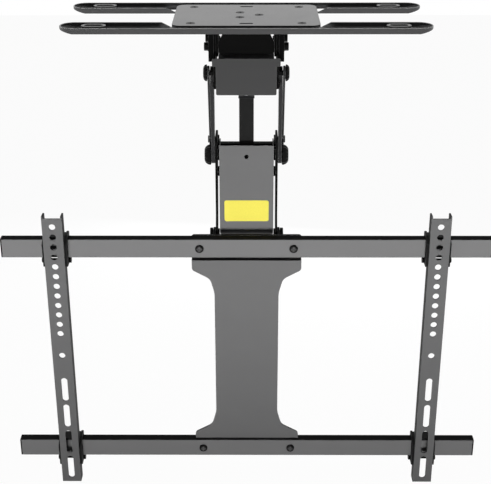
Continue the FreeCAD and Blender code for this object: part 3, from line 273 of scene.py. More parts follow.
class PaintShop:
    """Builds the shader groups once and one material for each finish."""

    LEVELS = ("Roughness", "Spread", "Fleck", "Grain")
    DETAIL = {Skin.POWDER: 2.0, Skin.MOULDED: 3.0, Skin.FILM: 1.0, Skin.TURNED: 2.0}
    RING_STRETCH = (1.0, 0.08, 0.08)
    PATCH_SCALE = 22.0
    PATCH_DETAIL = 4.0
    FINE_SHARE = 0.6
    # Least share of the edge colour, which is wear with a painted highlight.
    LEAST_WEAR_AND_HIGHLIGHT = 0.3
    EDGE_POLISH = 0.06

    def __init__(self) -> None:
        """Draws a group for each skin and a material for each finish."""
        self.groups = {skin: self._group(skin) for skin in Skin}
        self.materials = {finish.slot: self._material(finish) for finish in FINISHES}

    def _group(self, skin: Skin) -> Tree:
        """Draws one skin's group.

        Args:
            skin: The kind of surface.

        Returns:
            A group that puts out colour, roughness and height.
        """
        tree = bpy.data.node_groups.new(skin.value, "ShaderNodeTree")
        add_sockets(tree, "INPUT", Color=("Colour", "Edge Shading And Wear Colour"), Float=self.LEVELS)
        add_sockets(tree, "OUTPUT", Color=("Colour",), Float=("Roughness", "Height"))
        given = tree.nodes.new("NodeGroupInput").outputs
        place = add_node(tree, "ShaderNodeTexCoord").outputs["Object"]
        fine = self._fine_pattern(tree, skin, place, given["Grain"])
        patches = add_node(tree, "ShaderNodeTexNoise", {"Vector": place, "Scale": self.PATCH_SCALE,
                                                        "Detail": self.PATCH_DETAIL}).outputs[0]
        # Edge faces and screw recesses take the edge colour: wear with a painted highlight, and painted
        # shade where the edge colour is darker than the colour.
        edge_shading_and_wear = add_node(tree, "ShaderNodeAttribute", attribute_name=EDGE_SHADING_AND_WEAR).outputs["Fac"]
        # Painted shade: faces that carry this attribute are darkened by its share.
        painted_shade = add_node(tree, "ShaderNodeAttribute", attribute_name=PAINTED_SHADE).outputs["Fac"]
        wander = calc(tree, "ADD", calc(tree, "MULTIPLY", fine, self.FINE_SHARE),
                      calc(tree, "MULTIPLY", patches, 1.0 - self.FINE_SHARE))
        shade = calc(tree, "MULTIPLY_ADD", calc(tree, "SUBTRACT", wander, 0.5),
                     calc(tree, "MULTIPLY", given["Fleck"], 2.0), 1.0)
        shade = calc(tree, "MULTIPLY", shade, calc(tree, "SUBTRACT", 1.0, painted_shade))
        flecked_and_shaded = add_node(tree, "ShaderNodeVectorMath", {0: given["Colour"], 3: shade}, operation="SCALE")
        wear_and_highlight_share = calc(tree, "MULTIPLY_ADD", patches, 1.0 - self.LEAST_WEAR_AND_HIGHLIGHT, self.LEAST_WEAR_AND_HIGHLIGHT)
        colour = add_node(tree, "ShaderNodeMix", {0: calc(tree, "MULTIPLY", edge_shading_and_wear, wear_and_highlight_share),
                                                  6: flecked_and_shaded.outputs[0], 7: given["Edge Shading And Wear Colour"]},
                          data_type="RGBA")
        rough = calc(tree, "MULTIPLY_ADD", calc(tree, "SUBTRACT", patches, 0.5), given["Spread"],
                     given["Roughness"])
        rough = calc(tree, "SUBTRACT", rough, calc(tree, "MULTIPLY", edge_shading_and_wear, self.EDGE_POLISH))
        sink = tree.nodes.new("NodeGroupOutput")
        tree.links.new(colour.outputs[2], sink.inputs["Colour"])
        tree.links.new(rough, sink.inputs["Roughness"])
        tree.links.new(fine, sink.inputs["Height"])
        return tree

    def _fine_pattern(self, tree: Tree, skin: Skin, place: Socket, grain: Socket) -> Socket:
        """Draws the small pattern of one skin.

        Args:
            tree: The group.
            skin: The kind of surface.
            place: Object coordinates.
            grain: Grains per metre.

        Returns:
            A value from 0 to 1.
        """
        pattern = {"Vector": place, "Scale": grain}
        if skin is Skin.CAST:
            cells = add_node(tree, "ShaderNodeTexVoronoi", pattern, feature="SMOOTH_F1")
            return cells.outputs["Distance"]
        if skin is Skin.TURNED:
            rings = add_node(tree, "ShaderNodeMapping", {0: place, "Scale": self.RING_STRETCH})
            pattern["Vector"] = rings.outputs[0]
        return add_node(tree, "ShaderNodeTexNoise", {**pattern, "Detail": self.DETAIL[skin]}).outputs[0]

    def _material(self, finish: Finish) -> bpy.types.Material:
        """Makes the material of one finish.

        Args:
            finish: The finish.

        Returns:
            The material, named for its slot.
        """
        material = bpy.data.materials.new(finish.slot)
        material.use_nodes = True
        material.diffuse_color = (*finish.colour, 1.0)
        tree = material.node_tree
        shader = tree.nodes["Principled BSDF"]
        group = add_node(tree, "ShaderNodeGroup", node_tree=self.groups[finish.skin])
        group.inputs["Colour"].default_value = (*finish.colour, 1.0)
        group.inputs["Edge Shading And Wear Colour"].default_value = (*finish.edge_shading_and_wear_colour, 1.0)
        for name in self.LEVELS:
            group.inputs[name].default_value = getattr(finish, name.lower())
        bump = add_node(tree, "ShaderNodeBump", {"Height": group.outputs["Height"], "Strength": 1.0,
                                                 "Distance": finish.relief})
        tree.links.new(group.outputs["Colour"], shader.inputs["Base Color"])
        tree.links.new(group.outputs["Roughness"], shader.inputs["Roughness"])
        tree.links.new(bump.outputs[0], shader.inputs["Normal"])
        shader.inputs["Metallic"].default_value = finish.metallic
        shader.inputs["Specular IOR Level"].default_value = finish.specular
        shader.inputs["Coat Weight"].default_value = finish.coat
        return material


class Workshop:
    """Makes pieces, gives each its finish and seats it on its body."""

    FLAT_ANGLE = math.radians(0.6)
    SOFT_ANGLE = math.radians(40)
    SHARP_ANGLE = math.radians(32)
    SOFT_SEGMENTS = 2
    FLAT_WEIGHT = 100

    def __init__(self, frame: Mapping[str, Any], paint: PaintShop) -> None:
        """Keeps the frame, reads each node's slot and body, and draws the geometry trees.

        Args:
            paint: The materials.
        """
        self.frame = frame
        self.paint = paint
        record = frame["record"]
        self.slots = {part["node"]: part["material_slot"] for part in record["subparts"]}
        self.bodies = {node: body for body, nodes in record["behaviour"]["bodies"].items() for node in nodes}
        self.turned_trees = {profile: turned_tree(profile) for profile in Profile}
        self.rib_tree = rib_tree()

    def seat(self, piece: Piece, body: str, slot: str) -> Piece:
        """Lets a piece ride on a body and gives it a slot's material.

        Args:
            piece: The finished object.
            body: The body's name.
            slot: The material slot's name.

        Returns:
            The piece.
        """
        piece.data.materials.clear()
        piece.data.materials.append(self.paint.materials[slot])
        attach(piece, body)
        LOG.info("%s rides on %s in %s", piece.name, body, slot)
        return piece

    def evaluated(self, piece: Piece) -> Mesh:
        """Turns an object's modifiers into a plain mesh and removes the object."""
        graph = bpy.context.evaluated_depsgraph_get()
        mesh = bpy.data.meshes.new_from_object(piece.evaluated_get(graph), depsgraph=graph)
        bpy.data.objects.remove(piece)
        return mesh

    def soften(self, node: str, width: float, painted_shade: float = 0.0, clamp: bool = True) -> Piece:
        """Replaces a node by the same shape with softened edges.

        The thin faces of the softened edges get the attribute "edge_shading_and_wear", for wear and a
        painted highlight, and the whole piece gets the attribute "painted_shade", for painted shade. The
        skins read both.

        Args:
            node: The node.
            width: How wide the softening is, in metres.
            painted_shade: How much painted shade darkens the piece below its finish, from 0 to 1.
            clamp: Whether short edges narrow the softening everywhere.

        Returns:
            The piece.
        """
        rough = self._draft(node)
        bevel = rough.modifiers.new("soft_edges", "BEVEL")
        bevel.width = width
        bevel.segments = self.SOFT_SEGMENTS
        bevel.limit_method = "ANGLE"
        bevel.angle_limit = self.SOFT_ANGLE
        bevel.use_clamp_overlap = clamp
        bevel.miter_outer = "MITER_ARC"
        bevel.material = 1
        flat = rough.modifiers.new("flat_faces", "WEIGHTED_NORMAL")
        flat.mode = "FACE_AREA"
        flat.weight = self.FLAT_WEIGHT
        final = self.evaluated(rough)
        final.name = node + "_finished"
        count = len(final.polygons)
        marks = [0] * count
        final.polygons.foreach_get("material_index", marks)
        for name, values in ((EDGE_SHADING_AND_WEAR, [float(mark) for mark in marks]), (PAINTED_SHADE, [painted_shade] * count)):
            final.attributes.new(name, "FLOAT", "FACE").data.foreach_set("value", values)
        final.polygons.foreach_set("material_index", [0] * count)
        piece = put(node + "_finished", final)
        self.seat(piece, self.bodies[node], self.slots[node])
        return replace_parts(piece, node)

    def _draft(self, node: str) -> Piece:
        """Copies a node with its flat faces made whole and two slots, the second for soft edges."""
        draft = bmesh.new()
        draft.from_mesh(self.frame["nodes"][node].data)
        bmesh.ops.remove_doubles(draft, verts=draft.verts, dist=WELD)
        bmesh.ops.dissolve_limit(draft, angle_limit=self.FLAT_ANGLE, verts=draft.verts, edges=draft.edges)
        mesh = bpy.data.meshes.new(node + "_draft")
        draft.to_mesh(mesh)
        draft.free()
        mesh.shade_smooth()
        rough = put(node + "_draft", mesh)
        for _ in range(2):
            mesh.materials.append(self.paint.materials[self.slots[node]])
        return rough

    def paint_shade_on_faces(self, piece: Piece, axis: int, level: float) -> None:
        """Paints shade on the faces that look along one axis, both ways, by darkening them.

        Args:
            piece: A softened piece.
            axis: 0 for X, 1 for Y or 2 for Z.
            level: How much painted shade darkens these faces, from 0 to 1.
        """
        painted_shade = piece.data.attributes[PAINTED_SHADE].data
        for face in piece.data.polygons:
            if abs(face.normal[axis]) > FACING:
                painted_shade[face.index].value = level

    def turned(self, profile: Profile, drive: Drive, turn: Turn, places: Sequence[Vector], radius: float,
               height: float, flats: float = 1.0, scallops: int = 0) -> Mesh:
        """Makes a row of equal turned pieces, such as screw heads.

        Args:
            profile: The half section.
            drive: The recess.
            turn: Which way the heads look.
            places: The feet's middles.
            radius: The radius at a share of 1.
            height: The height at a share of 1.
            flats: Width across six flats; a large value leaves the piece round.
            scallops: How many finger dips the rim has.

        Returns:
            One mesh with every copy.
        """
        return self._grown(places, self.turned_trees[profile], {
            "Radius": radius, "Height": height, "Flats": flats, "Lobes": float(drive.value),
            "Scallops": float(scallops), "Turn": turn.value})

    def discs(self, turn: Turn, places: Sequence[Vector], radius: float, height: float) -> Mesh:
        """Makes a row of equal shanks, washers or collars.

        Args:
            turn: Which way they grow.
            places: The feet's middles.
            radius: Their radius.
            height: Their height.

        Returns:
            One mesh with every copy.
        """
        return self.turned(Profile.DISC, Drive.NONE, turn, places, radius, height)

    def hexagons(self, turn: Turn, places: Sequence[Vector], flats: float, height: float) -> Mesh:
        """Makes a row of equal hexagon heads or nuts.

        Args:
            turn: Which way they grow.
            places: The feet's middles.
            flats: Their width across flats.
            height: Their height.

        Returns:
            One mesh with every copy.
        """
        return self.turned(Profile.HEAD, Drive.NONE, turn, places, flats / 2, height, flats)

    def ribs(self, places: Sequence[Vector], size: Size) -> Mesh:
        """Makes a row of equal rounded ribs.

        Args:
            places: The ribs' middles.
            size: Length, width and height of one rib.

        Returns:
            One mesh with every rib.
        """
        return self._grown(places, self.rib_tree, {"Size": size, "Turn": Turn.UP.value})

    def _grown(self, places: Sequence[Vector], tree: Tree, values: Mapping[str, Any]) -> Mesh:
        """Runs a geometry tree on a row of points and keeps the plain mesh.

        Args:
            places: The points.
            tree: The geometry tree.
            values: Values by the names of the tree's inputs.

        Returns:
            The plain mesh.
        """
        mesh = bpy.data.meshes.new("row_points")
        mesh.from_pydata([tuple(place) for place in places], [], [])
        row = put("row", mesh)
        grow = row.modifiers.new("grow", "NODES")
        grow.node_group = tree
        for item in tree.interface.items_tree:
            if item.in_out == "INPUT" and item.name in values:
                grow[item.identifier] = values[item.name]
        return self.evaluated(row)

    def join(self, name: str, body: str, slot: str, meshes: Iterable[Mesh],
             stands_for: Sequence[str] = ()) -> Piece:
        """Joins meshes into one seated piece.

        Args:
            name: The piece's name.
            body: The body that it rides on.
            slot: Its material slot.
            meshes: What it is made of.
            stands_for: The nodes that it replaces.

        Returns:
            The piece.
        """
        draft = bmesh.new()
        for mesh in meshes:
            draft.from_mesh(mesh)
        final = bpy.data.meshes.new(name)
        draft.to_mesh(final)
        draft.free()
        final.polygons.foreach_set("material_index", [0] * len(final.polygons))
        final.shade_smooth()
        final.set_sharp_from_angle(angle=self.SHARP_ANGLE)
        piece = self.seat(put(name, final), body, slot)
        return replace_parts(piece, *stands_for) if stands_for else piece


def turned_tree(profile: Profile) -> Tree:
    """Draws the geometry tree that turns a half section round and copies it onto points.

    A grid is rolled up: its X runs round the axis and its Y along the half section. The outside
    is the smaller of the round section and a hexagon, the rim has as many dips as asked, and
    the recess as many lobes.

    Args:
        profile: The half section.

    Returns:
        The geometry tree.
    """
    tree = bpy.data.node_groups.new("turned_" + profile.name.lower(), "GeometryNodeTree")
    add_sockets(tree, "INPUT", Geometry=("Points",), Vector=("Turn",),
                Float=("Radius", "Height", "Flats", "Lobes", "Scallops"))
    add_sockets(tree, "OUTPUT", Geometry=("Geometry",))
    source = tree.nodes.new("NodeGroupInput")
    given = source.outputs
    grid = add_node(tree, "GeometryNodeMeshGrid", {
        "Size X": 1.0, "Size Y": 1.0, "Vertices X": ROUND_STEPS + 1, "Vertices Y": len(profile.value)})
    x, y, _ = point_place(tree)
    angle = calc(tree, "MULTIPLY", calc(tree, "ADD", x, 0.5), math.tau)
    along = calc(tree, "ADD", y, 0.5)
    widths = section_curve(tree, along, [point[0] / 2 for point in profile.value])
    heights = section_curve(tree, along, [point[1] for point in profile.value])
    round_width = calc(tree, "MULTIPLY", calc(tree, "MULTIPLY", widths, 2.0), given["Radius"])
    sixth = calc(tree, "SUBTRACT", calc(tree, "FLOORED_MODULO", angle, math.pi / 3), math.pi / 6)
    to_flat = calc(tree, "COSINE", sixth)
    hexagon = calc(tree, "DIVIDE", calc(tree, "MULTIPLY", given["Flats"], 0.5), to_flat)
    outside = calc(tree, "MINIMUM", round_width, hexagon)

    half_lobes = calc(tree, "MULTIPLY", given["Lobes"], 0.5)
    lobe = calc(tree, "ABSOLUTE", calc(tree, "COSINE", calc(tree, "MULTIPLY", angle, half_lobes)))
    star = calc(tree, "MULTIPLY_ADD", calc(tree, "POWER", lobe, CROSS_POWER), CROSS_DEPTH, 1.0 - CROSS_DEPTH)
    straight = calc(tree, "DIVIDE", math.cos(math.pi / 6), to_flat)
    is_cross = calc(tree, "LESS_THAN", given["Lobes"], (Drive.CROSS.value + Drive.HEXAGON.value) / 2)
    shaped = mixed(tree, star, straight, is_cross)
    has_drive = calc(tree, "GREATER_THAN", given["Lobes"], 0.5)
    in_recess = calc(tree, "GREATER_THAN", along, recess_start(profile))
    recess = calc(tree, "MULTIPLY", has_drive, in_recess)

    wave = calc(tree, "COSINE", calc(tree, "MULTIPLY", angle, given["Scallops"]))
    scalloped = calc(tree, "MULTIPLY_ADD", wave, RIM_DIP / 2, 1.0 - RIM_DIP / 2)
    width = calc(tree, "MULTIPLY", outside, mixed(tree, shaped, scalloped, recess))
    rolled = add_node(tree, "ShaderNodeCombineXYZ", {
        0: calc(tree, "MULTIPLY", width, calc(tree, "COSINE", angle)),
        1: calc(tree, "MULTIPLY", width, calc(tree, "SINE", angle)),
        2: calc(tree, "MULTIPLY", given["Height"], heights)})
    # The recess is marked before the points move, because it is read off the flat grid.
    # The mark paints a highlight in the recess with the edge colour.
    marked = add_node(tree, "GeometryNodeStoreNamedAttribute", {
        "Geometry": grid.outputs["Mesh"], "Name": EDGE_SHADING_AND_WEAR, "Value": recess}, data_type="FLOAT", domain="POINT")
    moved = add_node(tree, "GeometryNodeSetPosition", {"Geometry": marked.outputs[0],
                                                       "Position": rolled.outputs[0]})
    closed = add_node(tree, "GeometryNodeMergeByDistance", {"Geometry": moved.outputs[0], "Distance": WELD})
    finish_row(tree, source, closed.outputs[0])
    return tree


def point_place(tree: Tree) -> list[Socket]:
    """Adds a point's place to a geometry tree, as its X, Y and Z."""
    place = add_node(tree, "GeometryNodeInputPosition").outputs[0]
    return list(add_node(tree, "ShaderNodeSeparateXYZ", {0: place}).outputs)


def mixed(tree: Tree, first: Socket, second: Socket, share: Socket) -> Socket:
    """Mixes two values.

    Args:
        tree: The tree.
        first: The value at a share of 1.
        second: The value at a share of 0.
        share: The first value's share.

    Returns:
        The mixed value.
    """
    return calc(tree, "ADD", calc(tree, "MULTIPLY", first, share),
                calc(tree, "MULTIPLY", second, calc(tree, "SUBTRACT", 1.0, share)))


def recess_start(profile: Profile) -> float:
    """Share of the half section after which the recess begins, past its last full height."""
    shares = [point[1] for point in profile.value]
    last_full = max(i for i, share in enumerate(shares) if share == max(shares))
    return (last_full - 0.5) / (len(shares) - 1)


def section_curve(tree: Tree, along: Socket, shares: Sequence[float]) -> Socket:
    """Adds a curve that passes through evenly spaced shares.

    Args:
        tree: The geometry tree.
        along: Place along the half section, from 0 to 1.
        shares: Values from 0 to 1.

    Returns:
        The value at that place.
    """
    node = add_node(tree, "ShaderNodeFloatCurve", {"Factor": 1.0, "Value": along})
    curve = node.mapping.curves[0]
    last = len(shares) - 1
    curve.points[0].location = (0.0, shares[0])
    curve.points[1].location = (1.0, shares[last])
    for i in range(1, last):
        curve.points.new(i / last, shares[i])
    for point in curve.points:
        point.handle_type = "VECTOR"
    node.mapping.update()
    return node.outputs[0]


def finish_row(tree: Tree, source: bpy.types.Node, shape: Socket) -> None:
    """Ends a geometry tree: copies a shape onto the points and makes the copies real.

    Args:
        tree: The geometry tree.
        source: Its group input node, which has Points and Turn.
        shape: The shape to copy.
    """
    turn = add_node(tree, "FunctionNodeEulerToRotation", {0: source.outputs["Turn"]})
    copies = add_node(tree, "GeometryNodeInstanceOnPoints", {
        "Points": source.outputs["Points"], "Instance": shape, "Rotation": turn.outputs[0]})
    real = add_node(tree, "GeometryNodeRealizeInstances", {"Geometry": copies.outputs[0]})
    painted = add_node(tree, "GeometryNodeSetMaterial", {"Geometry": real.outputs[0]})
    painted.inputs["Material"].default_value = bpy.data.materials["dark_fastener"]
    sink = tree.nodes.new("NodeGroupOutput")
    tree.links.new(painted.outputs[0], sink.inputs[0])


def rib_tree() -> Tree:
    """Draws the geometry tree that copies a rounded rib onto points.

    Returns:
        The geometry tree.
    """
    tree = bpy.data.node_groups.new("rib_row", "GeometryNodeTree")
    add_sockets(tree, "INPUT", Geometry=("Points",), Vector=("Size", "Turn"))
    add_sockets(tree, "OUTPUT", Geometry=("Geometry",))
    source = tree.nodes.new("NodeGroupInput")
    block = add_node(tree, "GeometryNodeMeshCube", {
        "Size": (1.0, 1.0, 1.0), "Vertices X": 3, "Vertices Y": 5, "Vertices Z": 5})
    x, y, z = point_place(tree)
    across = [calc(tree, "MULTIPLY", value, 2.0) for value in (y, z)]
    squares = [calc(tree, "POWER", calc(tree, "ABSOLUTE", value), 2.0) for value in across]
    drawn_in = [calc(tree, "SUBTRACT", 1.0, calc(tree, "MULTIPLY", square, RIB_ROUND)) for square in squares]
    rounded = add_node(tree, "ShaderNodeCombineXYZ", {
        0: x,
        1: calc(tree, "MULTIPLY", y, calc(tree, "SQRT", drawn_in[1])),
        2: calc(tree, "MULTIPLY", z, calc(tree, "SQRT", drawn_in[0]))})
    sized = add_node(tree, "ShaderNodeVectorMath", {0: rounded.outputs[0], 1: source.outputs["Size"]},
                     operation="MULTIPLY")
    moved = add_node(tree, "GeometryNodeSetPosition", {"Geometry": block.outputs["Mesh"],
                                                       "Position": sized.outputs[0]})
    finish_row(tree, source, moved.outputs[0])
    return tree


def middle(node: str) -> Vector:
    """Middle of a node's box."""
    low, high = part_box(node)
    return (low + high) / 2


def points_at(x: float, *places: tuple[float, float]) -> list[Vector]:
    """Points at one X, each with its own Y and Z."""
    return [Vector((x, y, z)) for y, z in places]


@dataclass
class CeilingFrame:
    """Ceiling plate, rails and the screws between them."""

    shop: Workshop
    soft_plate: float = 0.6 * MM
    soft_rail: float = 0.7 * MM
    tip_length: float = 15.0 * MM
    lip_depth: float = 1.5 * MM
    # Share of edge colour painted on the tips' floors as a reflection.
    tip_painted_reflection: float = 0.75
    downward: float = -0.1
    hole_radius: float = 6.0 * MM
    hub_count: int = 3
    hub_circle: float = 17.0 * MM
    sunk_radius: float = 5.8 * MM
    sunk_height: float = 3.0 * MM
    nut_flats: float = 10.0 * MM
    nut_height: float = 5.0 * MM
    shank_radius: float = 3.0 * MM

    def build(self) -> None:
        """Dresses the ceiling side."""
        self.shop.soften("ceiling_plate", self.soft_plate)
        for rail in ("front_rail", "rear_rail"):
            self.paint_rail_highlights(self.shop.soften(rail, self.soft_rail, clamp=False))
        self.screws()

    def paint_rail_highlights(self, rail: Piece) -> None:
        """Keeps the painted edge highlight on a rail's lips only, and paints a reflection on the floors of
        its tips.

        Args:
            rail: The finished rail.
        """
        edge_shading_and_wear = rail.data.attributes[EDGE_SHADING_AND_WEAR].data
        top = max(vertex.co.z for vertex in rail.data.vertices)
        tip = max(abs(vertex.co.x) for vertex in rail.data.vertices) - self.tip_length
        for face in rail.data.polygons:
            # The painted highlight stays off faces that look down and faces below the lip.
            if face.normal.z < self.downward or face.center.z < top - self.lip_depth:
                edge_shading_and_wear[face.index].value = 0.0
            # Painted reflection on the rising floors at the tips.
            if face.normal.z > FACING and abs(face.center.x) > tip:
                edge_shading_and_wear[face.index].value = self.tip_painted_reflection

    def screws(self) -> None:
        """Makes the flush screws with their cross recesses and the nuts below."""
        low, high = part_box("rail_screws")
        x, y = high.x - self.hole_radius, high.y - self.hole_radius
        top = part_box("ceiling_plate")[1].z - self.sunk_height
        corners = [Vector((sx * x, sy * y, top)) for sx in (-1, 1) for sy in (-1, 1)]
        nuts = [Vector((p.x, p.y, low.z)) for p in corners]
        hexes = self.shop.hexagons(Turn.UP, nuts, self.nut_flats, self.nut_height)
        self.flush_row("plate_corner_screws", "rail_screws", corners, [hexes])
        turns = [math.tau * i / self.hub_count for i in range(self.hub_count)]
        hub = [Vector((self.hub_circle * math.cos(turn), self.hub_circle * math.sin(turn), top))
               for turn in turns]
        self.flush_row("plate_hub_screws", "saddle_screws", hub, [])

    def flush_row(self, name: str, node: str, places: Sequence[Vector], more: Sequence[Mesh]) -> None:
        """Makes flush screws with their shanks and joins them with other meshes.

        Args:
            name: The piece's name.
            node: The node that it stands for.
            places: Where the heads begin.
            more: Meshes that belong to the same piece.
        """
        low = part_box(node)[0].z
        feet = [Vector((p.x, p.y, low)) for p in places]
        heads = self.shop.turned(Profile.SUNK, Drive.CROSS, Turn.UP, places, self.sunk_radius,
                                 self.sunk_height)
        shanks = self.shop.discs(Turn.UP, feet, self.shank_radius, places[0].z - low)
        self.shop.join(name, "ceiling", "dark_fastener", [heads, shanks, *more], [node])


@dataclass
class Hanger:
    """Saddle, cheeks, skirt and control box under the plate."""

    shop: Workshop
    soft_sheet: float = 0.45 * MM
    soft_pin: float = 0.4 * MM
    soft_box: float = 0.3 * MM
    bolt_flats: float = 10.0 * MM
    bolt_radius: float = 3.0 * MM
    bolt_inside: float = 4.5 * MM
    washer: float = 1.0 * MM
    washer_share: float = 0.62
    skirt_painted_shade: float = 0.6
    knuckle_gap: float = 0.4 * MM
    knuckle_scallops: int = 12
    pin_radius: float = 3.5 * MM
    collar_radius: float = 5.5 * MM
    collar_height: float = 2.0 * MM
    vent_count: int = 9
    vent_x: float = 20.0 * MM
    vent_start: float = 8.0 * MM
    vent_pitch: float = 2.5 * MM
    vent_rib: Size = (15.0 * MM, 1.6 * MM, 1.2 * MM)
    flange_shank_radius: float = 2.0 * MM
    flange_shank_length: float = 6.5 * MM

    def build(self) -> None:
        """Dresses the hanger."""
        for node in ("saddle_bracket", "left_cheek", "right_cheek", "left_cheek_guard", "right_cheek_guard"):
            self.shop.soften(node, self.soft_sheet)
        # The skirt is darkened all over with painted shade from the plate above.
        self.shop.soften("front_skirt", self.soft_sheet, painted_shade=self.skirt_painted_shade)
        for node in ("swing_pins", "rod_pin", "power_inlet"):
            self.shop.soften(node, self.soft_pin)
        self.shop.soften("control_box", self.soft_box)
        self.bolts()
        self.knuckles()
        self.vents()
        self.skirt_screws()

    def bolts(self) -> None:
        """Makes the hexagon bolts with their washers."""
        low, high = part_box("cheek_bolts")
        places = [(y, middle("cheek_bolts").z)
                  for y in (low.y + self.bolt_flats / 2, high.y - self.bolt_flats / 2)]
        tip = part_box("saddle_bracket")[1].x - self.bolt_inside
        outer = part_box("right_cheek_guard")[1].x
        seat = outer + self.washer
        washer_radius = self.bolt_flats * self.washer_share
        meshes = []
        for side, out, _ in SIDES.values():
            outers, seats, tips = (points_at(side * x, *places) for x in (outer, seat, tip))
            meshes.append(self.shop.discs(out, outers, washer_radius, self.washer))
            meshes.append(self.shop.hexagons(out, seats, self.bolt_flats, high.x - seat))
            meshes.append(self.shop.discs(out, tips, self.bolt_radius, outer - tip))
        self.shop.join("hanger_bolts", "ceiling", "dark_fastener", meshes, ["cheek_bolts"])

    def knuckles(self) -> None:
        """Makes the large round heads at the top of the timing links."""
        low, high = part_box("link_top_pins")
        centre = middle("link_top_pins")
        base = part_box("right_timing_link")[1].x + self.knuckle_gap
        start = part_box("right_cheek")[0].x - self.collar_height
        meshes = []
        for side, out, _ in SIDES.values():
            heads, feet = (points_at(side * x, (centre.y, centre.z)) for x in (base, start))
            meshes.append(self.shop.turned(Profile.KNOB, Drive.HEXAGON, out, heads, (high.z - low.z) / 2,
                                           high.x - base, scallops=self.knuckle_scallops))
            meshes.append(self.shop.discs(out, feet, self.pin_radius, base - start))
            meshes.append(self.shop.discs(out, feet, self.collar_radius, self.collar_height))
        self.shop.join("upper_knuckles", "ceiling", "pivot_steel", meshes, ["link_top_pins"])

    def vents(self) -> None:
        """Makes the ribs over the control box's air slots, on its back."""
        low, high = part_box("control_box")
        for side, name in ((-1, "left"), (1, "right")):
            places = [Vector((side * self.vent_x, high.y, low.z + self.vent_start + i * self.vent_pitch))
                      for i in range(self.vent_count)]
            ribs = self.shop.ribs(places, self.vent_rib)
            self.shop.join("control_box_vents_" + name, "ceiling", "box_plastic", [ribs])

    def skirt_screws(self) -> None:
        """Makes the small pan screws at the skirt's side flanges."""
        low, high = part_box("skirt_screws")
        centre = middle("skirt_screws")
        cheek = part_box("right_cheek")[1].x
        meshes = []
        for side, out, back in SIDES.values():
            feet = points_at(side * cheek, (centre.y, centre.z))
            meshes.append(self.shop.turned(Profile.PAN, Drive.CROSS, out, feet, (high.z - low.z) / 2,
                                           high.x - cheek))
            meshes.append(self.shop.discs(back, feet, self.flange_shank_radius, self.flange_shank_length))
        self.shop.join("skirt_flange_screws", "ceiling", "dark_fastener", meshes, ["skirt_screws"])


@dataclass
class Linkage:
    """Swing arms, timing links, mast and what they turn on."""

    shop: Workshop
    soft_bar: float = 0.6 * MM
    soft_sheet: float = 0.45 * MM
    soft_pin: float = 0.25 * MM
    soft_label: float = 0.08 * MM
    side_painted_shade: float = 0.85
    disc_scallops: int = 12
    foot_radius: float = 14.0 * MM
    trim_lips: int = 3
    trim_pitch: float = 1.2 * MM
    trim_lip: float = 1.5 * MM
    trim_depth: float = 3.0 * MM
    trim_margin: float = 1.0 * MM

    def build(self) -> None:
        """Dresses the linkage and the mast."""
        for side in ("left_", "right_"):
            self.shop.soften(side + "swing_arm", self.soft_bar)
            self.shop.soften(side + "timing_link", self.soft_bar)
            self.shop.soften(side + "mast_plate", self.soft_sheet)
        self.shop.soften("mast_brace", self.soft_sheet)
        # The cover's side faces get painted shade.
        self.shop.paint_shade_on_faces(self.shop.soften("mast_cover", self.soft_sheet), 0, self.side_painted_shade)
        for node in ("swing_bushes", "elbow_pins", "link_foot_pins", "cover_spacers", "actuator_pin"):
            self.shop.soften(node, self.soft_pin)
        self.shop.soften("cover_label", self.soft_label)
        self.elbow_caps()
        self.foot_trim()

    def elbow_caps(self) -> None:
        """Makes the lobed discs that close the elbow pivots."""
        low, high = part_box("elbow_caps")
        centre = middle("elbow_caps")
        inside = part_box("right_timing_link")[0].x
        meshes = []
        for side, out, _ in SIDES.values():
            feet = points_at(side * inside, (centre.y, centre.z))
            meshes.append(self.shop.turned(Profile.KNOB, Drive.HEXAGON, out, feet, (high.z - low.z) / 2,
                                           high.x - inside, scallops=self.disc_scallops))
        self.shop.join("elbow_discs", "mast", "pivot_steel", meshes, ["elbow_caps"])

    def foot_trim(self) -> None:
        """Makes the lipped rubber strip under the cover's curled foot."""
        low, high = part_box("mast_cover")
        places = [Vector((0.0, low.y + self.foot_radius, low.z - i * self.trim_pitch))
                  for i in range(self.trim_lips)]
        length = high.x - low.x - 2 * self.trim_margin
        lips = self.shop.ribs(places, (length, self.trim_depth, self.trim_lip))
        self.shop.join("cover_foot_trim", "mast", "wiper_plastic", [lips])


@dataclass
class Actuator:
    """Gear case, motor, tube and rod."""

    shop: Workshop
    soft_case: float = 0.5 * MM
    soft_round: float = 0.35 * MM
    soft_rod: float = 0.3 * MM
    rib_count: int = 6
    rib_margin: float = 5.0 * MM
    rib_y: float = -15.0 * MM
    rib_size: Size = (1.6 * MM, 24.0 * MM, 2.0 * MM)
    band_count: int = 3
    band_lift: float = 0.4 * MM
    band_height: float = 1.6 * MM

    def build(self) -> None:
        """Dresses the actuator."""
        self.shop.soften("gear_housing", self.soft_case)
        for node in ("drive_motor", "actuator_tube", "tube_collar", "rod_eye"):
            self.shop.soften(node, self.soft_round)
        self.shop.soften("actuator_rod", self.soft_rod)
        self.housing_ribs()
        self.motor_bands()

    def housing_ribs(self) -> None:
        """Makes the cast ribs on both sides of the gear case."""
        low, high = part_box("gear_housing")
        pitch = (high.z - low.z - 2 * self.rib_margin) / (self.rib_count - 1)
        heights = [low.z + self.rib_margin + i * pitch for i in range(self.rib_count)]
        meshes = []
        for side in (-1, 1):
            places = points_at(side * high.x, *[(self.rib_y, z) for z in heights])
            meshes.append(self.shop.ribs(places, self.rib_size))
        self.shop.join("gear_case_ribs", "actuator", "motor_metal", meshes)

    def motor_bands(self) -> None:
        """Makes the rolled bands round the motor can."""
        low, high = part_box("drive_motor")
        centre = middle("drive_motor")
        radius = (high.x - low.x) / 2 + self.band_lift
        pitch = (high.z - low.z) / (self.band_count + 1)
        places = [Vector((centre.x, centre.y, low.z + pitch * (i + 1))) for i in range(self.band_count)]
        bands = self.shop.discs(Turn.UP, places, radius, self.band_height)
        self.shop.join("motor_bands", "actuator", "motor_metal", [bands])


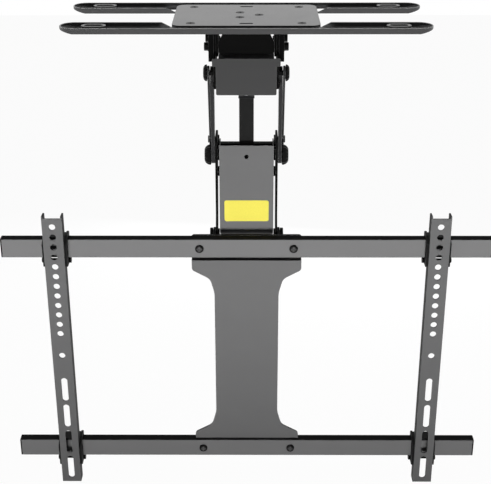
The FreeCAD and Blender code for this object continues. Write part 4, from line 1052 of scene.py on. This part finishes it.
@dataclass
class ScreenHead:
    """Tilt bracket, spine and cross tubes."""

    shop: Workshop
    soft_sheet: float = 0.5 * MM
    soft_tube: float = 0.3 * MM
    soft_cap: float = 0.5 * MM
    top_painted_shade: float = 0.85
    screw_radius: float = 6.0 * MM
    screw_height: float = 3.0 * MM
    screw_x: float = 65.5 * MM
    shank_radius: float = 3.0 * MM
    nut_flats: float = 10.0 * MM
    nut_height: float = 4.0 * MM
    pin_gap: float = 0.4 * MM
    pin_radius: float = 4.0 * MM
    collar_radius: float = 7.0 * MM
    collar_height: float = 2.2 * MM

    def build(self) -> None:
        """Dresses the head."""
        self.shop.soften("tilt_bracket", self.soft_sheet)
        # The spine's and tubes' faces that look up and down get painted shade.
        self.shop.paint_shade_on_faces(self.shop.soften("spine_plate", self.soft_sheet), 2, self.top_painted_shade)
        for node in ("upper_tube", "lower_tube"):
            self.shop.paint_shade_on_faces(self.shop.soften(node, self.soft_tube), 2, self.top_painted_shade)
        self.shop.soften("tube_end_caps", self.soft_cap)
        self.spine_screws()
        self.tilt_pins()

    def spine_screws(self) -> None:
        """Makes the pan screws on the tubes' fronts and the nuts behind."""
        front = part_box("upper_tube")[0].y
        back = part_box("spine_plate")[1].y
        rows = [Vector((side * self.screw_x, front, middle(tube).z))
                for tube in ("upper_tube", "lower_tube") for side in (-1, 1)]
        nuts = [Vector((p.x, back, p.z)) for p in rows]
        heads = self.shop.turned(Profile.PAN, Drive.CROSS, Turn.FRONT, rows, self.screw_radius,
                                 self.screw_height)
        shanks = self.shop.discs(Turn.BACK, rows, self.shank_radius, back - front)
        hexes = self.shop.hexagons(Turn.BACK, nuts, self.nut_flats, self.nut_height)
        self.shop.join("tube_screws", "head", "dark_fastener", [heads, shanks, hexes], ["spine_screws"])

    def tilt_pins(self) -> None:
        """Makes the tilt pivots' round heads."""
        low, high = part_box("tilt_pins")
        centre = middle("tilt_pins")
        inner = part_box("right_mast_plate")[0].x
        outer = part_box("tilt_bracket")[1].x + self.pin_gap
        meshes = []
        for side, out, back in SIDES.values():
            heads, feet = (points_at(side * x, (centre.y, centre.z)) for x in (outer, inner))
            meshes.append(self.shop.turned(Profile.SOCKET, Drive.HEXAGON, out, heads, (high.z - low.z) / 2,
                                           high.x - outer))
            meshes.append(self.shop.discs(out, feet, self.pin_radius, outer - inner))
            meshes.append(self.shop.discs(back, feet, self.collar_radius, self.collar_height))
        self.shop.join("tilt_pivots", "mast", "dark_fastener", meshes, ["tilt_pins"])


@dataclass
class ScreenArm:
    """One slotted screen arm with its clamps and lock screws."""

    shop: Workshop
    side: str
    soft_arm: float = 0.35 * MM
    flank_painted_shade: float = 0.9
    screw_lift: float = 4.5 * MM
    screw_radius: float = 4.0 * MM
    shank_radius: float = 2.5 * MM
    nut_flats: float = 8.0 * MM
    nut_height: float = 3.0 * MM

    def build(self) -> None:
        """Dresses one arm."""
        # The arm's side faces get painted shade, and the clamps get it all over.
        self.shop.paint_shade_on_faces(self.shop.soften(self.side + "_vesa_arm", self.soft_arm), 0, self.flank_painted_shade)
        for place in ("upper", "lower"):
            self.shop.soften(f"{self.side}_{place}_clamp", self.soft_arm, painted_shade=self.flank_painted_shade)
        self.lock_screws()

    def lock_screws(self) -> None:
        """Makes the lock screws under the tubes."""
        node = self.side + "_clamp_screws"
        low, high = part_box(node)
        sign, out, back = SIDES[self.side]
        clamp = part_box(self.side + "_upper_clamp")
        inner, outer = (clamp[0].x, clamp[1].x) if sign > 0 else (clamp[1].x, clamp[0].x)
        tip = high.x if sign > 0 else low.x
        y = middle(node).y
        places = [(y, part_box(f"{self.side}_{place}_clamp")[0].z + self.screw_lift)
                  for place in ("upper", "lower")]
        rows, nuts = (points_at(x, *places) for x in (outer, inner))
        heads = self.shop.turned(Profile.SOCKET, Drive.HEXAGON, out, rows, self.screw_radius,
                                 abs(tip - outer))
        shanks = self.shop.discs(back, rows, self.shank_radius, abs(outer - inner))
        hexes = self.shop.hexagons(back, nuts, self.nut_flats, self.nut_height)
        self.shop.join(self.side + "_lock_screws", self.side + "_screen_arm", "dark_fastener",
                       [heads, shanks, hexes], [node])


@dataclass(frozen=True)
class Lamp:
    """One area lamp of the studio.

    Attributes:
        name: The lamp's name.
        place: Where it stands.
        aim: What it looks at.
        width: Its width in metres.
        height: Its height in metres.
        power: Its power in watts.
        spread: How wide its grid lets the light out, in degrees.
    """

    name: str
    place: tuple[float, float, float]
    aim: tuple[float, float, float]
    width: float
    height: float
    power: float
    spread: float = 180.0


@dataclass
class Studio:
    """Floor, lamps, world and the camera at the photograph's view."""

    camera_place: tuple[float, float, float] = (0.0071, -1.4519, 0.3138)
    pitch: float = 23.97
    yaw: float = -0.35
    roll: float = -0.11
    focal_pixels: float = 1090.4
    view_depth: float = 50.0
    floor_z: float = -1.3
    floor_half: float = 6.0
    world_level: float = 0.04
    floor_white: float = 0.96
    floor_matte: float = 0.8
    lamps: tuple[Lamp, ...] = (
        Lamp("front", (-0.1, -2.3, -0.4), (0.0, -0.05, -0.25), 2.2, 0.4, 6.4, 40.0),
        Lamp("left", (-2.2, 0.2, -0.6), (0.0, -0.05, -0.34), 1.0, 1.0, 18.0),
        Lamp("right", (2.2, 0.2, -0.6), (0.0, -0.05, -0.34), 1.0, 1.0, 18.0),
        Lamp("back", (0.3, 2.4, -0.8), (0.0, -0.05, -0.34), 1.6, 0.8, 40.0),
    )

    def build(self) -> None:
        """Sets up the studio."""
        self.floor()
        self.world()
        for lamp in self.lamps:
            self.lamp(lamp)
        self.camera()

    def seen(self, tree: Tree) -> Socket:
        """Tells rays that show the stage from rays that light the mount.

        Args:
            tree: A shader tree.

        Returns:
            1 for a camera, glossy or transmission ray and 0 for any other.
        """
        rays = tree.nodes.new("ShaderNodeLightPath").outputs
        direct = calc(tree, "MAXIMUM", rays["Is Camera Ray"], rays["Is Glossy Ray"])
        return calc(tree, "MAXIMUM", direct, rays["Is Transmission Ray"])

    def floor(self) -> None:
        """Makes the floor, near white for the camera and reflections, and matte for light."""
        half = self.floor_half
        mesh = bpy.data.meshes.new("floor")
        corners = [(x * half, y * half, self.floor_z) for x, y in ((-1, -1), (1, -1), (1, 1), (-1, 1))]
        mesh.from_pydata(corners, [], [(0, 1, 2, 3)])
        material = bpy.data.materials.new("studio_floor")
        material.use_nodes = True
        tree = material.node_tree
        tree.nodes.clear()
        matte = add_node(tree, "ShaderNodeBsdfDiffuse", {"Color": (*grey(self.floor_matte), 1.0)})
        glow = add_node(tree, "ShaderNodeEmission", {"Color": WHITE, "Strength": 1.0})
        share = calc(tree, "MULTIPLY", self.seen(tree), self.floor_white)
        mix = add_node(tree, "ShaderNodeMixShader", {0: share, 1: matte.outputs[0], 2: glow.outputs[0]})
        add_node(tree, "ShaderNodeOutputMaterial", {0: mix.outputs[0]})
        mesh.materials.append(material)
        floor = put("floor", mesh)

    def world(self) -> None:
        """Sets a world, white for the camera and reflections, and dim grey for light."""
        world = bpy.data.worlds.new("studio")
        bpy.context.scene.world = world
        world.use_nodes = True
        tree = world.node_tree
        tree.nodes.clear()
        level = calc(tree, "MULTIPLY_ADD", self.seen(tree), 1.0 - self.world_level, self.world_level)
        light = add_node(tree, "ShaderNodeBackground", {"Color": WHITE, "Strength": level})
        add_node(tree, "ShaderNodeOutputWorld", {0: light.outputs[0]})

    def lamp(self, lamp: Lamp) -> None:
        """Adds one area lamp that looks at the mount.

        Args:
            lamp: Its place, size and power.
        """
        data = bpy.data.lights.new(lamp.name, "AREA")
        data.shape = "RECTANGLE"
        data.size = lamp.width
        data.size_y = lamp.height
        data.energy = lamp.power
        data.spread = math.radians(lamp.spread)
        light = put(lamp.name, data)
        light.location = lamp.place
        light.rotation_euler = (Vector(lamp.aim) - light.location).to_track_quat("-Z", "Y").to_euler()
        light.visible_camera = False
        light.visible_glossy = False

    def camera(self) -> None:
        """Puts the camera where the photograph was taken from."""
        pitch, yaw, roll = (math.radians(angle) for angle in (self.pitch, self.yaw, self.roll))
        ahead = Vector((math.sin(yaw) * math.cos(pitch), math.cos(yaw) * math.cos(pitch), -math.sin(pitch)))
        right = Vector((math.cos(yaw), -math.sin(yaw), 0.0))
        up = right.cross(ahead)
        turned_right = right * math.cos(roll) + up * math.sin(roll)
        turned_up = up * math.cos(roll) - right * math.sin(roll)
        axes = Matrix((turned_right, turned_up, -ahead)).transposed()
        data = bpy.data.cameras.new("camera")
        data.sensor_width = SENSOR_WIDTH
        data.lens = self.focal_pixels * SENSOR_WIDTH / PHOTO_WIDTH
        data.clip_end = self.view_depth
        camera = put("camera", data)
        camera.matrix_world = Matrix.Translation(self.camera_place) @ axes.to_4x4()
        bpy.context.scene.camera = camera


def clear_scene() -> None:
    """Removes what a new file holds."""
    for thing in list(bpy.data.objects):
        bpy.data.objects.remove(thing)


def main() -> None:
    """Builds the whole scene."""
    logging.basicConfig(level=logging.INFO, format="%(message)s")
    clear_scene()
    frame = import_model()
    shop = Workshop(frame, PaintShop())
    for assembly in (CeilingFrame(shop), Hanger(shop), Linkage(shop), Actuator(shop), ScreenHead(shop),
                     ScreenArm(shop, "left"), ScreenArm(shop, "right")):
        assembly.build()
    Studio().build()
    bpy.context.scene.view_settings.view_transform = "Standard"


if __name__ == "__main__":
    main()
